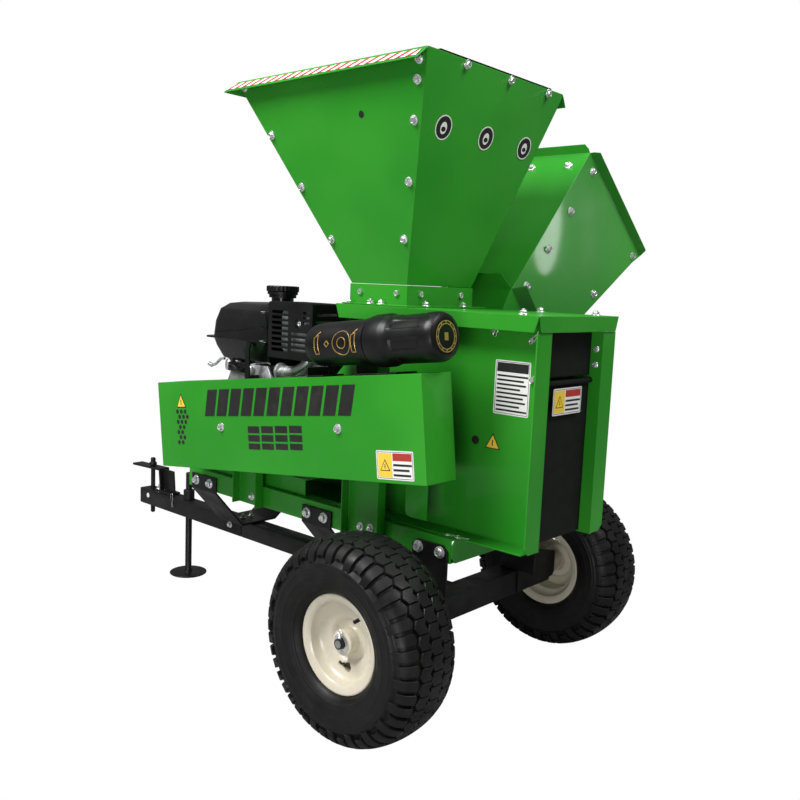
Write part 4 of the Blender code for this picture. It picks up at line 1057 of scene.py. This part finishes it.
def build_tank_details():
    """Raised panel on the tank, two-step knurled cap, and the fuel tap parts below."""
    kit = Kit("tank_panel", gloss_black, BODY, 25)
    up = Vector((0.0, 0.011, 0.067))
    place = plate_frame((0.0, -0.129, 0.683), X, up)
    outline = [(-0.22, 0.01), (-0.123, 0.019), (-0.031, 0.036), (-0.046, 0.064), (-0.198, 0.066)]
    kit.prism(outline, -0.004, 0.0026, place)
    kit.clean(0.0016, 3)
    cap = Kit("tank_cap_knurled", grain_black, "tank_cap", 30)
    centre = Vector((-0.112, -0.01, 0.0))

    def grip(r, h, a):
        return r - 0.0011 * (0.5 + 0.5 * math.cos(30 * a)) if r > 0.0385 else r
    cap.spin([(0.0272, 0.7815), (0.033, 0.7815), (0.0332, 0.789), (0.0368, 0.7896), (0.0372, 0.796),
              (0.0392, 0.797), (0.0398, 0.7985), (0.0398, 0.808), (0.0388, 0.8096), (0.034, 0.8104),
              (0.03, 0.8092), (0.0, 0.8092),
              (0.0, 0.7866), (0.0272, 0.7866)], Matrix.Translation(centre), 120, grip, 0)
    cap.clean(slot="black_plastic", replaces=("fuel_cap",))
    bits = Kit("carburettor_parts", zinc, BODY, 35)
    lever = [(-0.262, -0.115, 0.611), (-0.25, -0.116, 0.608), (-0.234, -0.115, 0.613),
             (-0.218, -0.113, 0.626), (-0.204, -0.112, 0.628)]
    bits.rod(spline(lever, 4), [0.0052] * 5 + [0.0035] * 12, 10)
    bits.spin([(0.0, 0.0), (0.011, 0.001), (0.0135, 0.006), (0.0135, 0.02), (0.01, 0.027), (0.0, 0.029)],
              Matrix.Translation((-0.202, -0.095, 0.599)), 24)
    bits.spin([(0.0, 0.0), (0.007, 0.0), (0.0074, 0.012), (0.005, 0.016), (0.0, 0.016)],
              Matrix.Translation((-0.105, -0.108, 0.601)), 16)
    link = [(-0.12, -0.1, 0.618), (-0.106, -0.101, 0.624), (-0.056, -0.1, 0.63),
            (-0.044, -0.101, 0.628)]
    bits.rod(link, 0.0018, 8)
    bits.clean()
    dark = Kit("carburettor_body", gloss_black, BODY, 35)
    dark.block((-0.19, -0.116), (-0.112, -0.08), (0.6, 0.6215))
    dark.prism(rounded((-0.095, -0.03), (0.6, 0.626), 0.006, 3), 0.0, -0.024,
               plate_frame((0, -0.1, 0), X, Z))
    hose = [(-0.188, -0.11, 0.612), (-0.17, -0.119, 0.619), (-0.14, -0.119, 0.607),
            (-0.118, -0.112, 0.615)]
    dark.rod(spline(hose, 5), 0.0036, 10)
    dark.clean(0.0018, 2)


LID = Vector((0.4392, -0.232, 0.7211))
LID_AXIS = Vector((math.cos(GUARD_TILT), 0.0, math.sin(GUARD_TILT)))
LID_UP = Vector((-math.sin(GUARD_TILT), 0.0, math.cos(GUARD_TILT)))


def on_canister(s, angle, radius=0.0435):
    """Point at s along the canister, at an angle from straight out towards up."""
    a = math.radians(angle)
    return LID + LID_AXIS * s + radius * (math.cos(a) * Vector((0, -1, 0)) + math.sin(a) * LID_UP)


def build_canister():
    """Round tool canister: smooth tube, stepped lid with grip ribs, and plain gilt outlines."""
    place = Matrix.Translation(LID) @ Matrix((LID_UP, LID_AXIS.cross(LID_UP), LID_AXIS)).transposed().to_4x4()
    tube = Kit("canister_tube_shell", satin_plastic, BODY, 40)
    tube.spin([(0.0, -0.187), (0.03, -0.1862), (0.0368, -0.183), (0.0408, -0.176), (0.0426, -0.165),
               (0.043, -0.15), (0.043, -0.032), (0.045, -0.031), (0.045, -0.022), (0.036, -0.02),
               (0.0, -0.02)], place, 64)
    tube.clean(slot="black_plastic", replaces=("canister_tube",))
    lid = Kit("canister_lid_ribbed", satin_plastic, "canister_lid", 32)

    def ribs(r, h, a):
        if 0.0455 < h < 0.1115:
            wave = 0.5 + 0.5 * math.cos(7 * a)
            return r - 0.003 * smooth_step((wave - 0.3) / 0.3)
        return r
    lid.spin([(0.0, -0.018), (0.045, -0.018), (0.0485, -0.016), (0.0495, -0.011), (0.0495, 0.019),
              (0.048, 0.0255), (0.0458, 0.03), (0.045, 0.035), (0.045, 0.044), (0.045, 0.048),
              (0.045, 0.078), (0.045, 0.109), (0.045, 0.113), (0.045, 0.127), (0.044, 0.135),
              (0.0408, 0.1412), (0.036, 0.144),
              (0.033, 0.1446), (0.0322, 0.1436), (0.0, 0.1436)], place, 140, ribs)
    lid.clean(slot="black_plastic", replaces=("canister_cap",))
    gold = Kit("canister_gilt_marks", gilt, BODY, 40)

    def loop(points):
        line = []
        for (s0, a0), (s1, a1) in zip(points, points[1:]):
            steps = 1 + int(abs(a1 - a0) / 4)
            line += [on_canister(lerp(s0, s1, i / steps), lerp(a0, a1, i / steps)) for i in range(steps)]
        gold.rod(line + [on_canister(*points[-1])], 0.00085, 6)
    circle = [(-0.0754 + 0.0235 * math.cos(math.tau * i / 32),
               31 * math.sin(math.tau * i / 32)) for i in range(33)]
    loop(circle)
    loop([(-0.0754 + 0.011 * math.cos(math.tau * i / 16),
           14 * math.sin(math.tau * i / 16)) for i in range(17)])
    for s in (-0.143, -0.044):
        loop([(s - 0.006, -25), (s - 0.006, 18), (s + 0.004, 24), (s + 0.004, -25), (s - 0.006, -25)])
        loop([(s - 0.002, 22), (s + 0.008, 34)])
    for s in (-0.115,):
        loop([(s - 0.006, 0), (s, 8), (s + 0.006, 0), (s, -8), (s - 0.006, 0)])
    gold.clean()
    disc = Kit("canister_lid_ring", gilt, "canister_lid", 40)
    for r in (0.0275, 0.0225):
        disc.spin([(r - 0.0009, 0.1437), (r + 0.0009, 0.1437), (r + 0.0009, 0.1441), (r - 0.0009, 0.1441)],
                  place, 48, None, 0, True)
    for i in range(12):
        turn = place @ Matrix.Rotation(math.tau * i / 12, 4, "Z")
        disc.prism(slanted(0.024, 0.0262, -0.0016, 0.0016), 0.1437, 0.1441, turn)
    disc.prism(slanted(-0.007, 0.007, -0.005, 0.005), 0.1437, 0.1441, place)
    disc.clean()


def build_starter_rope():
    """Recoil rope from the blower cover to the grip."""
    kit = Kit("starter_rope", rope_black, None, 60)
    start = Vector((-0.115, 0.111, 0.5905))
    grip = Vector((-0.115, 0.122, 0.6172))
    kit.rod([start + (grip - start) * (i / 12) for i in range(13)], 0.0022, 10)
    obj = kit.clean()
    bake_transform(obj)


# ---------------------------------------------------------------- assembly
for wheel, direction in (("left", -1), ("right", 1)):
    build_tyre(wheel, direction)
    build_rim(wheel, direction)
bolts = build_fasteners()
build_frame_bolts(bolts)
build_housing_bolts(bolts)
build_chute_bolts(bolts)
bolts.clean()
build_guard_marks()
build_stickers()
build_hopper_tape()
build_pins()
build_wheel_ends()
build_small_bracket()
build_hitch_details()
build_silencer()
build_tank_details()
build_canister()
build_starter_rope()


# ---------------------------------------------------------------- camera, light and floor
def place_camera():
    """Stands behind the machine on the guard side, at chest height, looking slightly down."""
    place = Vector((1.53098, -1.42619, 0.82314))
    ahead = Vector((-0.65503, 0.74433, -0.13003)).normalized()
    roll = math.radians(2.43)
    side = ahead.cross(Z).normalized()
    up = side.cross(ahead)
    right = math.cos(roll) * side + math.sin(roll) * up
    up = right.cross(ahead)
    data = bpy.data.cameras.new("camera")
    data.sensor_width = 36.0
    data.lens = 39.2175
    camera = bpy.data.objects.new("camera", data)
    camera.matrix_world = Matrix.Translation(place) @ Matrix((right, up, -ahead)).transposed().to_4x4()
    bpy.context.scene.collection.objects.link(camera)
    bpy.context.scene.camera = camera


def area_light(name, place, target, size, power, tall=None):
    data = bpy.data.lights.new(name, "AREA")
    data.shape = "ELLIPSE"
    data.size = size
    data.size_y = tall or size
    data.energy = power
    lamp = bpy.data.objects.new(name, data)
    lamp.location = place
    lamp.visible_camera = False
    lamp.rotation_mode = "QUATERNION"
    lamp.rotation_quaternion = (Vector(target) - Vector(place)).to_track_quat("-Z", "Y")
    bpy.context.scene.collection.objects.link(lamp)
    return lamp


def white_to_camera(tree, shader, output, strength=1.0):
    """Shows plain white in the picture while the surface lights the object as its own shader says."""
    plain = tree.nodes.new("ShaderNodeEmission")
    plain.inputs["Color"].default_value = (1.0, 1.0, 1.0, 1.0)
    plain.inputs["Strength"].default_value = strength
    rays = tree.nodes.new("ShaderNodeLightPath")
    pick = tree.nodes.new("ShaderNodeMixShader")
    tree.links.new(rays.outputs["Is Camera Ray"], pick.inputs["Fac"])
    tree.links.new(shader, pick.inputs[1])
    tree.links.new(plain.outputs["Emission"], pick.inputs[2])
    tree.links.new(pick.outputs["Shader"], output)


def build_studio():
    """White surroundings, soft lights above and in front, a glint on the chute and a pale floor."""
    world = bpy.data.worlds.new("studio")
    world.use_nodes = True
    shade = world.node_tree.nodes["Background"]
    shade.inputs["Color"].default_value = (1.0, 1.0, 1.0, 1.0)
    shade.inputs["Strength"].default_value = AMBIENT
    white_to_camera(world.node_tree, shade.outputs["Background"],
                    world.node_tree.nodes["World Output"].inputs["Surface"])
    bpy.context.scene.world = world
    bpy.context.scene.view_settings.view_transform = "Standard"
    for light in LIGHTS:
        area_light(*light)
    glint = area_light("chute_glint", (0.99, 1.13, 1.04), (0.45, 0.27, 0.98), 0.09, 1.2, 0.32)
    lit = bpy.data.collections.new("lit_by_chute_glint")
    lit.objects.link(frame["nodes"]["chipper_chute"])
    glint.light_linking.receiver_collection = lit
    bm = bmesh.new()
    bmesh.ops.create_grid(bm, x_segments=1, y_segments=1, size=14.0)
    mesh = bpy.data.meshes.new("floor")
    bm.to_mesh(mesh)
    floor = bpy.data.objects.new("floor", mesh)
    floor.location.z = -0.0005
    f = Finish("pale_floor", (0.3, 0.3, 0.3), 0.9, specular=0.1)
    white_to_camera(f.tree, f.bsdf.outputs["BSDF"], f.tree.nodes["Material Output"].inputs["Surface"])
    mesh.materials.append(f.mat)
    bpy.context.scene.collection.objects.link(floor)


AMBIENT = 0.18
LIGHTS = (
    ("key", (-0.6, -2.3, 3.4), (0.1, 0.0, 0.6), 2.0, 176),
    ("front", (1.7, -2.6, 0.15), (0.6, 0.0, 0.35), 1.4, 36),
    ("side", (2.6, 0.5, 3.6), (0.4, 0.0, 0.6), 1.4, 82),
    ("top", (0.4, -0.2, 4.2), (0.2, 0.0, 0.7), 2.2, 25),
)
place_camera()
build_studio()
